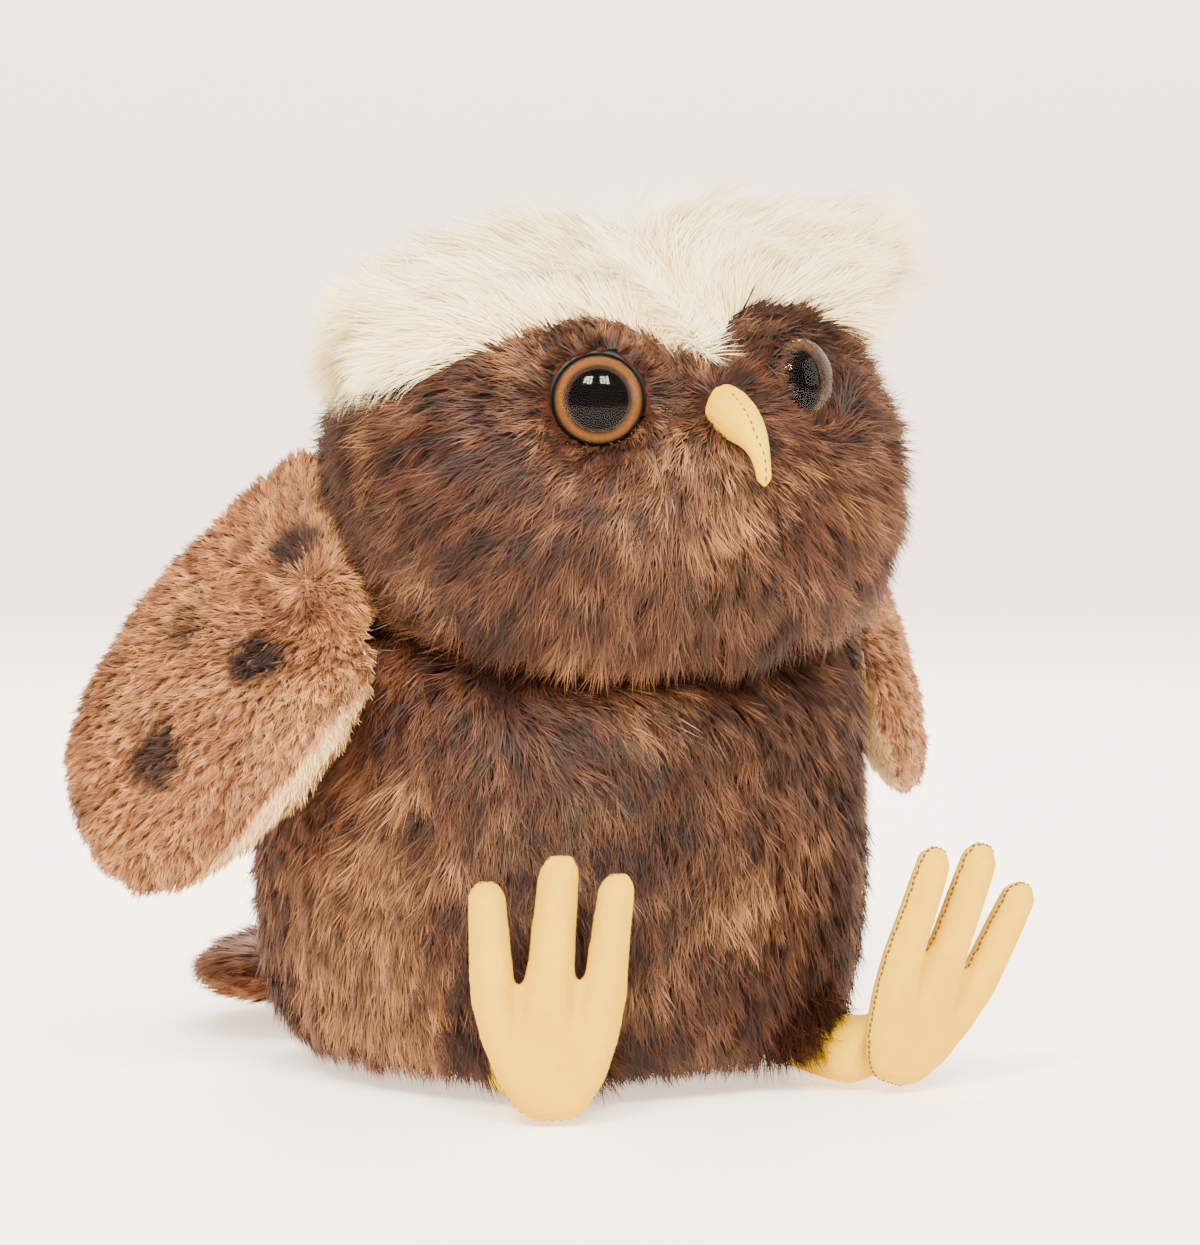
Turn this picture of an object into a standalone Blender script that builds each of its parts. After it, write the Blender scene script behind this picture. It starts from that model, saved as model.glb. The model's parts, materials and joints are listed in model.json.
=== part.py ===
"""Plush owl: a sewn and stuffed toy, built piece by piece in metres, +Z up.

The owl faces -Y and its right side is -X. The origin is the middle of the flat base panel on the floor.
Each cover panel is its own closed sheet, with its brushed pile counted in its thickness.
The head, wings, legs and tail are each modelled in the frame of the empty that they turn about.
"""
import bpy
import bmesh
import math
from mathutils import Matrix, Vector

# Cloth, clearances and counts
PLUSH_WALL = 0.0068
SHORT_WALL = 0.0036
LINING_WALL = 0.0026
LEATHER_WALL = 0.0012
SEAM_GAP = 0.0004
FIT_GAP = 0.0003
TURN_GAP = 0.0004
ROUND_COLUMNS = 32
EYE_COLUMNS = 18
LEG_COLUMNS = 12
THREAD_RADIUS = 0.00035
THREAD_SIDES = 3
NECK_THREAD_SIDES = 8
THREAD_FROM_EDGE = 0.0022
SHARP_ANGLE = math.radians(40.0)
SIDES = (-1, 1)
SIDE_WORDS = ("right", "left")

# Body
BODY_HALF_WIDTH = 0.0820
BODY_FRONT_REACH = 0.0870
BODY_BACK_REACH = 0.0810
BODY_PLAN_POWER = 2.15
BODY_PROFILE_SHARES = (
    (0.70, 0.000), (0.86, 0.030), (0.95, 0.110), (1.00, 0.260), (1.015, 0.430),
    (1.005, 0.610), (0.99, 0.780), (0.97, 0.895), (0.93, 0.965), (0.87, 1.000),
)
BACK_TAPER_SHARES = (1.0, 1.0, 1.0, 1.0, 0.99, 0.96, 0.90, 0.85, 0.81, 0.78)

# Neck
NECK_HEIGHT = 0.1400
NECK_LEAN = math.radians(19.0)
HEAD_TIP = math.radians(4.0)
NECK_OPENING_RADIUS = 0.0270
NECK_THREAD_RADIUS = 0.0008
NECK_THREAD_ROOM = 0.0026

# Weight pouch in the base
POUCH_RADIUS = 0.0440
POUCH_HEIGHT = 0.0200
POUCH_EDGE_SHARES = ((0.55, 0.12), (0.90, 0.30), (1.00, 0.55), (0.86, 0.82), (0.50, 0.96))

# Head, in the frame of the leaning neck
HEAD_HALF_WIDTH = 0.0785
HEAD_FRONT_DEPTH = 0.0740
HEAD_BACK_DEPTH = 0.0680
HEAD_HALF_HEIGHT = 0.0600
HEAD_FORWARD = 0.0222
HEAD_ASIDE = 0.0018
HEAD_RISE = 0.0320
HEAD_UPPER_POWER = 2.1
HEAD_LOWER_POWER = 2.35
HEAD_BLEND_SHARE = 0.35
HEAD_POLE_LEAN = math.radians(40.0)
RIM_SEARCH_ANGLE = math.radians(60.0)
HEAD_RIM_ROUNDING = 0.0040
BROW_BULGE = 0.0370
BROW_EDGE_SHARE = 0.22
BROW_LIFT_SHARE = 0.40
BROW_RIGHT_SHARES = (
    (0.0, 0.24), (0.10, 0.36), (0.28, 0.49), (0.50, 0.62), (0.62, 0.56), (0.80, 0.20), (1.0, 0.05),
)
BROW_LEFT_SHARES = (
    (0.0, 0.24), (0.10, 0.38), (0.28, 0.58), (0.50, 1.00), (0.64, 0.94), (0.80, 0.35), (1.0, 0.05),
)
BROW_END_ANGLE = math.radians(122.0)
BROW_TOP_ANGLE = math.radians(26.0)
BROW_TOP_SPREAD = math.radians(20.0)
BROW_MIDDLE_RISE = 0.0520
BROW_OVER_EYE_RISE = 0.0620
BROW_SIDE_RISE = 0.0470
BROW_REAR_RISE = 0.0430
BROW_OVER_EYE_ANGLE = math.radians(35.0)
BROW_SIDE_ANGLE = math.radians(80.0)
FACE_END_ANGLE = math.radians(90.0)
CROWN_ROWS = 2
BROW_ROWS = 3
CHEEK_ROWS = 6
BROW_EDGE_ROWS = CROWN_ROWS + BROW_ROWS
CHEEK_EDGE_ROWS = BROW_EDGE_ROWS + CHEEK_ROWS
HEAD_ROWS = CHEEK_EDGE_ROWS + 3

# Eyes
EYE_ASIDE_ANGLES = (math.radians(36.0), math.radians(38.0))
EYE_UP_ANGLE = math.radians(35.0)
EYE_SINK = 0.0012
EYE_YAW = math.radians(29.0)
EYE_PITCH = math.radians(24.0)
EYE_RADIUS = 0.0110
EYE_DOME_HEIGHT = 0.0062
EYE_DOME_SHARES = ((0.45, 0.93), (0.80, 0.66), (0.97, 0.28), (1.00, 0.0))
IRIS_THICKNESS = 0.0010
PUPIL_RADIUS = 0.0072
PUPIL_THICKNESS = 0.0006
EYE_RIM_RADIUS = 0.0132
EYE_RIM_THICKNESS = 0.0011
STEM_RADIUS = 0.0024
STEM_LENGTH = 0.0150
STEM_CAVITY_RADIUS = 0.0032
WASHER_RADIUS = 0.0080
WASHER_THICKNESS = 0.0016
WASHER_DEPTH = 0.0074
SOCKET_DEPTH = 0.0100
SOCKET_ANGLE = math.radians(23.0)
SOCKET_LIFT_ANGLE = math.radians(9.0)

# Beak
BEAK_UP_ANGLE = math.radians(35.0)
BEAK_HALF_WIDTH = 0.0070
BEAK_HALF_HEIGHT = 0.0080
BEAK_TIP_RADIUS = 0.0024
BEAK_REACH = 0.0272
BEAK_DROP = 0.0115
BEAK_ARCH = 0.0220
BEAK_ARCH_RISE = 0.0030
BEAK_SINK = 0.0040
BEAK_STEPS = 7
BEAK_COLUMNS = 12
BEAK_THREAD_STEPS = 8
BEAK_THREAD_SHARES = (0.52, 0.95)

# Wings and tail
PAD_EDGE = 0.0016
PAD_ROUND_POWER = 2.6
PAD_ROOT_POWER = 4
WING_LENGTH = 0.0910
WING_CHORD = 0.0880
WING_OUTLINE_SHARES = (
    (-0.27, 0.00), (-0.10, 0.00), (0.10, 0.00), (0.24, -0.04), (0.40, -0.11), (0.53, -0.03), (0.58, 0.16),
    (0.57, 0.40), (0.53, 0.64), (0.43, 0.84), (0.24, 0.96), (0.04, 1.00), (-0.15, 0.98), (-0.28, 0.87),
    (-0.375, 0.68), (-0.42, 0.46), (-0.41, 0.26), (-0.365, 0.09),
)
WING_CENTRE_SHARES = (0.06, 0.47)
WING_OUTER_SWELL = 0.0100
WING_INNER_SWELL = 0.0065
WING_OUTER_TAPER = 0.36
WING_INNER_TAPER = 0.24
WING_ROWS = 4
WING_CAVITY_SHARE = 0.72
WING_ROOT_GAPS = (0.0010, 0.0050)
WING_PLACE_BACK = -0.0160
WING_PLACE_UP = 0.1290
WING_TURN = math.radians(12.0)
WING_SLOPES = (math.radians(25.0), math.radians(50.0))
WING_SWINGS = (math.radians(30.0), math.radians(26.0))

# Tail
TAIL_LENGTH = 0.0560
TAIL_WIDTH = 0.0860
TAIL_OUTLINE_SHARES = (
    (-0.24, 0.00), (0.00, 0.00), (0.24, 0.00), (0.38, 0.10), (0.47, 0.32), (0.50, 0.58), (0.43, 0.82),
    (0.24, 0.96), (0.00, 1.00), (-0.24, 0.96), (-0.43, 0.82), (-0.50, 0.58), (-0.47, 0.32), (-0.38, 0.10),
)
TAIL_CENTRE_SHARES = (0.0, 0.52)
TAIL_SWELL = 0.0085
TAIL_TAPER = 0.42
TAIL_ROWS = 3
TAIL_CAVITY_SHARE = 0.66
TAIL_PLACE_BACK = 0.0763
TAIL_PLACE_UP = 0.0148
TAIL_SKEW = math.radians(8.0)

# Feet, in the frame of the heel: X across, Z up the foot, sole towards -Y
PALM_LENGTH = 0.0325
PALM_HALF_WIDTH = 0.0200
PALM_ROW_SHARES = (0.0, 0.10, 0.32, 0.65, 1.0)
PALM_WIDTH_SHARES = ((0.0, 0.22), (0.04, 0.36), (0.20, 0.60), (0.50, 0.81), (0.80, 0.94), (1.0, 1.0))
TOE_ENDS = ((-0.0146, 0.0620), (0.0042, 0.0680), (0.0183, 0.0628))
TOE_HALF_WIDTHS = (0.0054, 0.0058, 0.0052)
TOE_FORKS = (-0.0078, 0.0076)
TOE_ROW_SHARES = ((0.20, 1.08), (0.58, 1.0), (0.88, 0.93), (1.0, 0.5))
TOE_COLUMNS = 4
FOOT_SWELL = 0.0050
FOOT_EDGE = 0.0050
FOOT_FILL_GAP = 0.0016
FOOT_ASIDES = (0.0488, 0.0491)
FOOT_FORWARDS = (0.0868, 0.0893)
FOOT_UPS = (0.0010, 0.0028)
FOOT_SPLAYS = (math.radians(28.0), math.radians(4.0))
FOOT_LEANS = (math.radians(3.0), math.radians(14.0))
FOOT_ROLLS = (math.radians(2.0), math.radians(20.0))

# Legs
LEG_RADIUS = 0.0072
LEG_BALL_ROWS = 4
LEG_ANKLE_RADIUS = 0.0070
LEG_ASIDE = 0.0440
LEG_FORWARD = 0.0777
LEG_UP = 0.0095
ANKLE_UP_THE_FOOT = 0.0120

# Colours
BROWN = (0.254, 0.103, 0.051)
TAN = (0.485, 0.251, 0.130)
CREAM = (0.78, 0.66, 0.47)
WHITE = (0.93, 0.88, 0.72)
FIBRE = (0.85, 0.85, 0.83)
YELLOW = (0.80, 0.62, 0.16)
AMBER = (0.44, 0.20, 0.04)
BLACK = (0.012, 0.011, 0.010)
CLEAR = (0.90, 0.90, 0.90)
THREAD = (0.16, 0.10, 0.03)
CALICO = (0.72, 0.68, 0.58)
NYLON = (0.75, 0.75, 0.72)


def clear_scene():
    """Empty the scene without closing the file."""
    for old in list(bpy.data.objects):
        bpy.data.objects.remove(old, do_unlink=True)


def finish(name, colour, roughness, metallic=0.0):
    """Make one surface finish."""
    material = bpy.data.materials.new(name)
    material.use_nodes = True
    shader = material.node_tree.nodes["Principled BSDF"]
    shader.inputs["Base Color"].default_value = (*colour, 1.0)
    shader.inputs["Roughness"].default_value = roughness
    shader.inputs["Metallic"].default_value = metallic
    material.diffuse_color = (*colour, 1.0)
    return material


def add_pivot(name, matrix, parent=None):
    """An empty whose own frame the pieces on it are modelled in."""
    pivot = bpy.data.objects.new(name, None)
    pivot.matrix_local = matrix
    pivot.parent = parent
    bpy.context.scene.collection.objects.link(pivot)
    return pivot


def add_piece(name, shape, material, pivot=None, place=None):
    """Turn a bmesh into a named object in its pivot's frame, moved to a place in that frame first."""
    if place is not None:
        shape.transform(place)
    if shape.calc_volume(signed=True) < 0:
        bmesh.ops.reverse_faces(shape, faces=shape.faces)
    mesh = bpy.data.meshes.new(name)
    shape.to_mesh(mesh)
    shape.free()
    mesh.materials.append(material)
    mesh.shade_smooth()
    mesh.set_sharp_from_angle(angle=SHARP_ANGLE)
    piece = bpy.data.objects.new(name, mesh)
    piece.parent = pivot
    bpy.context.scene.collection.objects.link(piece)
    return piece


def cut(piece, cutters):
    """Take each cutter's space out of a piece."""
    for cutter in cutters:
        cutter.hide_render = True
        cutter.display_type = 'WIRE'
        step = piece.modifiers.new("cut " + cutter.name, 'BOOLEAN')
        step.operation = 'DIFFERENCE'
        step.solver = 'EXACT'
        step.object = cutter


def lerp(low, high, share):
    """Straight blend between two values."""
    return low + (high - low) * share


def table(value, points):
    """Straight-line reading of a table of (place, value) pairs."""
    if value <= points[0][0]:
        return points[0][1]
    for (low, first), (high, second) in zip(points, points[1:]):
        if value <= high:
            return lerp(first, second, (value - low) / (high - low))
    return points[-1][1]


def solve(inside, low, high, steps=40):
    """The place between low and high where inside stops being true."""
    for _ in range(steps):
        middle = (low + high) / 2
        if inside(middle):
            low = middle
        else:
            high = middle
    return (low + high) / 2


def grid_keys(rows, columns, closed_rows=()):
    """Keys of a wrapped grid; a row in closed_rows is one point."""
    def key(row, column):
        return (row, 0) if row in closed_rows else (row, column % columns)
    faces = {}
    for row in range(rows - 1):
        for column in range(columns):
            corners = [key(row, column), key(row + 1, column), key(row + 1, column + 1), key(row, column + 1)]
            face = [corner for place, corner in enumerate(corners) if corner not in corners[:place]]
            faces[(row, column)] = face
    return faces


def add_face(shape, corners):
    """One triangle, or a quad split the same way on every layer of cloth, so that layers can't cross."""
    for first, second in zip(corners[1:], corners[2:]):
        shape.faces.new((corners[0], first, second))


def sheet(outer, inner, faces, gap=0.0):
    """Closed sheet between two point maps over the same faces, drawn in by half a gap at its edges."""
    keys = sorted({key for face in faces for key in face})
    sides = {(face[i - 1], face[i]) for face in faces for i in range(len(face))}
    border = [side for side in sides if (side[1], side[0]) not in sides]
    edge_keys = {key for side in border for key in side}
    pull = {key: Vector() for key in edge_keys}
    for face in faces:
        middle = sum((outer[key] for key in face), Vector()) / len(face)
        for key in face:
            if key in pull:
                pull[key] += middle - outer[key]
    shape = bmesh.new()
    top, bottom = {}, {}
    for key in keys:
        shift = pull[key].normalized() * gap if key in pull and gap else Vector()
        top[key] = shape.verts.new(outer[key] + shift)
        bottom[key] = shape.verts.new(inner[key] + shift)
    for face in faces:
        add_face(shape, [top[key] for key in face])
        for second, third in zip(face[1:], face[2:]):
            shape.faces.new((bottom[third], bottom[second], bottom[face[0]]))
    for first, second in border:
        if first < second:
            shape.faces.new((top[second], top[first], bottom[second]))
            shape.faces.new((top[first], bottom[first], bottom[second]))
        else:
            shape.faces.new((top[second], top[first], bottom[first]))
            shape.faces.new((top[second], bottom[first], bottom[second]))
    return shape


def closed_form(rows):
    """Closed body over rings of points whose first and last rows are single points."""
    shape = bmesh.new()
    rings = [[shape.verts.new(point) for point in row] for row in rows]
    for upper, lower in zip(rings, rings[1:]):
        count = max(len(upper), len(lower))
        for column in range(count):
            after = column + 1
            corners = [upper[column % len(upper)], lower[column % len(lower)],
                       lower[after % len(lower)], upper[after % len(upper)]]
            add_face(shape, [corner for place, corner in enumerate(corners) if corner not in corners[:place]])
    return shape


def turned(profile, columns=ROUND_COLUMNS):
    """Closed form turned about Z from (radius, height) pairs; a pair on the axis closes it."""
    rows = []
    for radius, height in profile:
        if radius == 0:
            rows.append([Vector((0, 0, height))])
        else:
            rows.append([Vector((radius * math.cos(angle), radius * math.sin(angle), height))
                         for angle in (math.tau * column / columns for column in range(columns))])
    return closed_form(rows)


def turned_ring(profile, columns=ROUND_COLUMNS):
    """Ring turned about Z from a closed loop of (radius, height) pairs."""
    shape = bmesh.new()
    rings = []
    for radius, height in profile:
        rings.append([shape.verts.new((radius * math.cos(angle), radius * math.sin(angle), height))
                      for angle in (math.tau * column / columns for column in range(columns))])
    for place, ring in enumerate(rings):
        other = rings[(place + 1) % len(rings)]
        for column in range(columns):
            after = (column + 1) % columns
            add_face(shape, [ring[column], other[column], other[after], ring[after]])
    return shape


# Body surface

def neck_frame(tip=HEAD_TIP):
    """Frame of the head: its Z is the neck's axis, which leans forward and a little to the right."""
    return (Matrix.Translation((0, 0, NECK_HEIGHT)) @ Matrix.Rotation(NECK_LEAN, 4, 'X')
            @ Matrix.Rotation(-tip, 4, 'Y'))


def neck_top(x, y, drop):
    """Height of the leaning neck plane over a place on the floor."""
    across, along, upward = neck_frame().col[2].xyz
    return NECK_HEIGHT - (x * across + y * along + drop) / upward


def around(column, radius, height):
    """Point on a circle about Z, counted from the front towards the left."""
    angle = math.tau * column / ROUND_COLUMNS
    return Vector((radius * math.sin(angle), -radius * math.cos(angle), height))


def body_point(row, column, inset):
    """Point of the body's surface, or of the same surface drawn in by inset."""
    if row == len(BODY_PROFILE_SHARES):
        return neck_frame() @ around(column, NECK_OPENING_RADIUS, -TURN_GAP / 2 - inset)
    radius_share, height_share = BODY_PROFILE_SHARES[row]
    heading = around(column, 1, 0)
    reach = BODY_FRONT_REACH if heading.y < 0 else BODY_BACK_REACH * BACK_TAPER_SHARES[row]
    wide, deep = abs(heading.x) / BODY_HALF_WIDTH, abs(heading.y) / reach
    spread = wide ** BODY_PLAN_POWER + deep ** BODY_PLAN_POWER
    place = heading * (spread ** (-1 / BODY_PLAN_POWER) - inset) * radius_share
    top = neck_top(place.x, place.y, TURN_GAP / 2 + inset)
    return Vector((place.x, place.y, lerp(inset, top, height_share)))


def body_map(inset):
    """Point map of the body's surface at an inset."""
    rows = len(BODY_PROFILE_SHARES) + 1
    return {(row, column): body_point(row, column, inset)
            for row in range(rows) for column in range(ROUND_COLUMNS)}


def body_side(back, height):
    """How far the body reaches aside at a place behind its middle and a height over the floor."""
    reach = BODY_FRONT_REACH if back < 0 else BODY_BACK_REACH
    share = height / neck_top(0, back, 0)
    wide = table(share, [(rise, radius) for radius, rise in BODY_PROFILE_SHARES])
    deep = (abs(back) / (reach * wide)) ** BODY_PLAN_POWER
    return BODY_HALF_WIDTH * wide * (1 - deep) ** (1 / BODY_PLAN_POWER)


def map_ring(points, row, columns=ROUND_COLUMNS):
    """One row of a point map as a ring."""
    return [points[(row, column)] for column in range(columns)]


def base_panel_form():
    """Flat panel under the body, inside the lower edge of the side panels."""
    outer = body_map(0)
    inner = body_map(PLUSH_WALL)
    low = [point * (1 - SEAM_GAP / point.length) for point in map_ring(outer, 0)]
    high = []
    for point in map_ring(inner, 0):
        flat = Vector((point.x, point.y, 0))
        high.append(flat * (1 - SEAM_GAP / flat.length) + Vector((0, 0, point.z)))
    return closed_form([[Vector()], low, high, [Vector((0, 0, PLUSH_WALL))]])


def pouch_rings(grow):
    """(radius, height) pairs of the weight pouch, from its flat foot to its top."""
    foot = PLUSH_WALL + FIT_GAP
    pairs = [(0, foot - grow)]
    for radius_share, height_share in POUCH_EDGE_SHARES:
        pairs.append((POUCH_RADIUS * radius_share + grow, foot + POUCH_HEIGHT * height_share))
    pairs.append((0, foot + POUCH_HEIGHT + grow))
    return pairs


def body_stuffing_form():
    """Fibre fill of the body, dished underneath over the weight pouch, with a plug in the neck opening."""
    inset = PLUSH_WALL + FIT_GAP
    points = body_map(inset)
    pairs = pouch_rings(FIT_GAP)
    widest = max(radius for radius, _ in pairs)
    upper = [pair for pair in pairs[::-1] if pair[1] >= PLUSH_WALL + POUCH_HEIGHT / 2]
    rows = [[Vector((0, 0, upper[0][1]))]]
    for radius, height in upper[1:] + [(widest, inset)]:
        rows.append([around(column, radius, height) for column in range(ROUND_COLUMNS)])
    rows += [map_ring(points, row) for row in range(len(BODY_PROFILE_SHARES))]
    frame = neck_frame()
    plug = NECK_OPENING_RADIUS - NECK_THREAD_ROOM
    for height in (-TURN_GAP / 2 - inset, -TURN_GAP / 2):
        rows.append([frame @ around(column, plug, height) for column in range(ROUND_COLUMNS)])
    rows.append([frame @ Vector((0, 0, -TURN_GAP / 2))])
    return closed_form(rows)


def neck_thread_form():
    """Thread that draws the neck opening together, as a ring just inside it."""
    middle = NECK_OPENING_RADIUS - NECK_THREAD_ROOM / 2
    turns = [math.tau * side / NECK_THREAD_SIDES for side in range(NECK_THREAD_SIDES)]
    return turned_ring([(middle + NECK_THREAD_RADIUS * math.cos(turn),
                         NECK_THREAD_RADIUS * math.sin(turn) - PLUSH_WALL / 2) for turn in turns])


# Head surface, in the neck's frame

def head_direction(turn, fall):
    """Direction from the head's middle, counted from a pole at the back of the crown."""
    ray = Vector((math.sin(fall) * math.sin(turn), -math.sin(fall) * math.cos(turn), math.cos(fall)))
    return Matrix.Rotation(-HEAD_POLE_LEAN, 3, 'X') @ ray


def head_middle():
    """Middle of the head."""
    return Vector((HEAD_ASIDE, -HEAD_FORWARD, HEAD_RISE))


def aimed(aside, raised):
    """Direction turned aside from straight ahead and raised from level."""
    return Vector((math.sin(aside) * math.cos(raised), -math.cos(aside) * math.cos(raised), math.sin(raised)))


def socket_dent(ray):
    """How far the face is drawn in around each eye."""
    depth = 0
    for side, aside in zip(SIDES, EYE_ASIDE_ANGLES):
        away = ray.angle(aimed(side * aside, EYE_UP_ANGLE + SOCKET_LIFT_ANGLE))
        depth += SOCKET_DEPTH * math.exp(-(away / SOCKET_ANGLE) ** 2)
    return depth


def head_radius(ray, inset):
    """Distance from the head's middle to its surface along a ray."""
    rise = min(max((ray.z + HEAD_BLEND_SHARE) / (2 * HEAD_BLEND_SHARE), 0), 1)
    power = lerp(HEAD_LOWER_POWER, HEAD_UPPER_POWER, rise * rise * (3 - 2 * rise))
    depth = HEAD_FRONT_DEPTH if ray.y < 0 else HEAD_BACK_DEPTH
    total = ((abs(ray.x) / (HEAD_HALF_WIDTH - inset)) ** power
             + (abs(ray.y) / (depth - inset)) ** power
             + (abs(ray.z) / (HEAD_HALF_HEIGHT - inset)) ** power)
    return total ** (-1 / power) - socket_dent(ray)


def head_surface(turn, fall, inset):
    """Point of the head's surface in a direction."""
    ray = head_direction(turn, fall)
    return head_middle() + ray * head_radius(ray, inset)


def rim_fall(turn, height, inset):
    """Fall angle at which the head's surface comes down to a height over the neck plane."""
    return solve(lambda fall: head_surface(turn, fall, inset).z > height, RIM_SEARCH_ANGLE, math.pi)


def brow_edge_fall(turn):
    """Fall angle of the brow's lower edge, from its rise over the middle of the neck."""
    rises = ((0, BROW_MIDDLE_RISE), (BROW_OVER_EYE_ANGLE, BROW_OVER_EYE_RISE),
             (BROW_SIDE_ANGLE, BROW_SIDE_RISE), (BROW_END_ANGLE, BROW_REAR_RISE))
    wanted = NECK_HEIGHT + table(abs(turn), rises)
    level = neck_frame(0)
    return solve(lambda fall: (level @ head_surface(turn, fall, 0)).z > wanted,
                 BROW_TOP_ANGLE, RIM_SEARCH_ANGLE * 2)


def brow_top_fall(turn):
    """Fall angle of the brow's upper edge."""
    return BROW_TOP_ANGLE + BROW_TOP_SPREAD * (1 - math.cos(turn)) / 2


def column_turn(column):
    """Turn of a head column from the front, from minus half a turn to half a turn."""
    return math.tau * (column if column <= ROUND_COLUMNS // 2 else column - ROUND_COLUMNS) / ROUND_COLUMNS


def head_point(row, column, inset):
    """Point of the head's grid: crown, brow, cheek, rounded rim and neck rows."""
    turn = column_turn(column)
    crown_end = brow_top_fall(turn)
    brow_end = brow_edge_fall(turn)
    base = TURN_GAP / 2 + inset
    if row <= CROWN_ROWS:
        return head_surface(turn, crown_end * row / CROWN_ROWS, inset)
    if row <= BROW_EDGE_ROWS:
        return head_surface(turn, lerp(crown_end, brow_end, (row - CROWN_ROWS) / BROW_ROWS), inset)
    cheek_end = rim_fall(turn, base + HEAD_RIM_ROUNDING, inset)
    if row <= CHEEK_EDGE_ROWS:
        return head_surface(turn, lerp(brow_end, cheek_end, (row - BROW_EDGE_ROWS) / CHEEK_ROWS), inset)
    lowest = head_surface(turn, cheek_end, inset)
    flat = Vector((lowest.x, lowest.y, 0))
    if row == CHEEK_EDGE_ROWS + 1:
        return flat * (1 - HEAD_RIM_ROUNDING / flat.length) + Vector((0, 0, base))
    return around(column, NECK_OPENING_RADIUS, base)


def head_map(inset):
    """Point map of the head's surface at an inset."""
    return {(row, column): head_point(row, column, inset)
            for row in range(HEAD_ROWS) for column in range(ROUND_COLUMNS)}


def brow_swell(row, column):
    """How far the long white pile stands over the head's surface."""
    turn = column_turn(column) / BROW_END_ANGLE
    swells = BROW_LEFT_SHARES if turn > 0 else BROW_RIGHT_SHARES
    along = (row - CROWN_ROWS) / BROW_ROWS
    hump = math.sqrt(max(math.sin(math.pi * along), 0))
    return BROW_BULGE * lerp(BROW_EDGE_SHARE, 1, hump) * table(abs(turn), swells)


def head_stuffing_form():
    """Fibre fill of the head with a plug in the neck opening."""
    inset = PLUSH_WALL + FIT_GAP
    points = head_map(inset)
    rows = [[points[(0, 0)]]] + [map_ring(points, row) for row in range(1, HEAD_ROWS - 1)]
    plug = NECK_OPENING_RADIUS - FIT_GAP
    for height in (TURN_GAP / 2 + inset, TURN_GAP / 2):
        rows.append([around(column, plug, height) for column in range(ROUND_COLUMNS)])
    rows.append([Vector((0, 0, TURN_GAP / 2))])
    return closed_form(rows)


# Eyes, with Z along the eye's axis and the flat back of the clear dome at zero

def eye_place(number):
    """Where an eye sits in the neck's frame; number is 0 for the right one and 1 for the left one."""
    ray = aimed(SIDES[number] * EYE_ASIDE_ANGLES[number], EYE_UP_ANGLE)
    middle = head_middle() + ray * (head_radius(ray, 0) - EYE_SINK)
    aim = aimed(SIDES[number] * EYE_YAW, EYE_PITCH)
    return Matrix.Translation(middle) @ aim.to_track_quat('Z', 'Y').to_matrix().to_4x4()


def lens_form():
    """Clear dome, hollowed behind for the pupil."""
    room = PUPIL_RADIUS + FIT_GAP
    deep = PUPIL_THICKNESS + FIT_GAP
    pairs = [(0, deep), (room, deep), (room, 0)]
    pairs += [(EYE_RADIUS * wide, EYE_DOME_HEIGHT * high) for wide, high in EYE_DOME_SHARES[::-1]]
    return turned(pairs + [(0, EYE_DOME_HEIGHT)], EYE_COLUMNS)


def iris_form():
    """Amber disc with the stem that goes through the face."""
    front = -FIT_GAP
    back = front - IRIS_THICKNESS
    return turned([(0, -STEM_LENGTH), (STEM_RADIUS, -STEM_LENGTH), (STEM_RADIUS, back), (EYE_RADIUS, back),
                   (EYE_RADIUS, front), (0, front)], EYE_COLUMNS)


def pupil_form():
    """Black disc on the iris."""
    edge = [(PUPIL_RADIUS, 0), (PUPIL_RADIUS, PUPIL_THICKNESS)]
    return turned([(0, 0), *edge, (0, PUPIL_THICKNESS)], EYE_COLUMNS)


def flat_ring(inner, outer, low, high):
    """Flat ring about Z."""
    return turned_ring([(inner, low), (outer, low), (outer, high), (inner, high)], EYE_COLUMNS)


def eye_rim_form():
    """Black ring behind the iris."""
    high = -2 * FIT_GAP - IRIS_THICKNESS
    return flat_ring(STEM_RADIUS + FIT_GAP, EYE_RIM_RADIUS, high - EYE_RIM_THICKNESS, high)


def washer_form():
    """Lock washer on the stem, behind the face's cloth."""
    return flat_ring(STEM_RADIUS + FIT_GAP, WASHER_RADIUS, -WASHER_DEPTH - WASHER_THICKNESS, -WASHER_DEPTH)


def eye_room_form():
    """Space that the eye takes out of the face and its stuffing."""
    seat = -3 * FIT_GAP - IRIS_THICKNESS - EYE_RIM_THICKNESS
    wide = EYE_RIM_RADIUS + FIT_GAP
    clear = SOCKET_DEPTH + EYE_RADIUS
    washer = WASHER_RADIUS + FIT_GAP
    return turned([(0, -STEM_LENGTH - FIT_GAP), (STEM_CAVITY_RADIUS, -STEM_LENGTH - FIT_GAP),
                   (STEM_CAVITY_RADIUS, -WASHER_DEPTH - WASHER_THICKNESS - FIT_GAP),
                   (washer, -WASHER_DEPTH - WASHER_THICKNESS - FIT_GAP), (washer, FIT_GAP - WASHER_DEPTH),
                   (STEM_CAVITY_RADIUS, FIT_GAP - WASHER_DEPTH), (STEM_CAVITY_RADIUS, seat),
                   (wide, seat), (wide, clear), (0, clear)], EYE_COLUMNS)


# Beak, in the neck's frame

def beak_root():
    """Middle of the beak's base, sunk into the face."""
    ray = aimed(0, BEAK_UP_ANGLE)
    return head_middle() + ray * (head_radius(ray, 0) - BEAK_SINK)


def beak_path(share):
    """Point and direction along the beak's middle line."""
    first = beak_root()
    bend = first + Vector((0, -BEAK_ARCH, BEAK_ARCH_RISE))
    last = first + Vector((0, -BEAK_REACH, -BEAK_DROP))
    point = first.lerp(bend, share).lerp(bend.lerp(last, share), share)
    return point, ((bend - first) * (1 - share) + (last - bend) * share).normalized()


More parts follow.
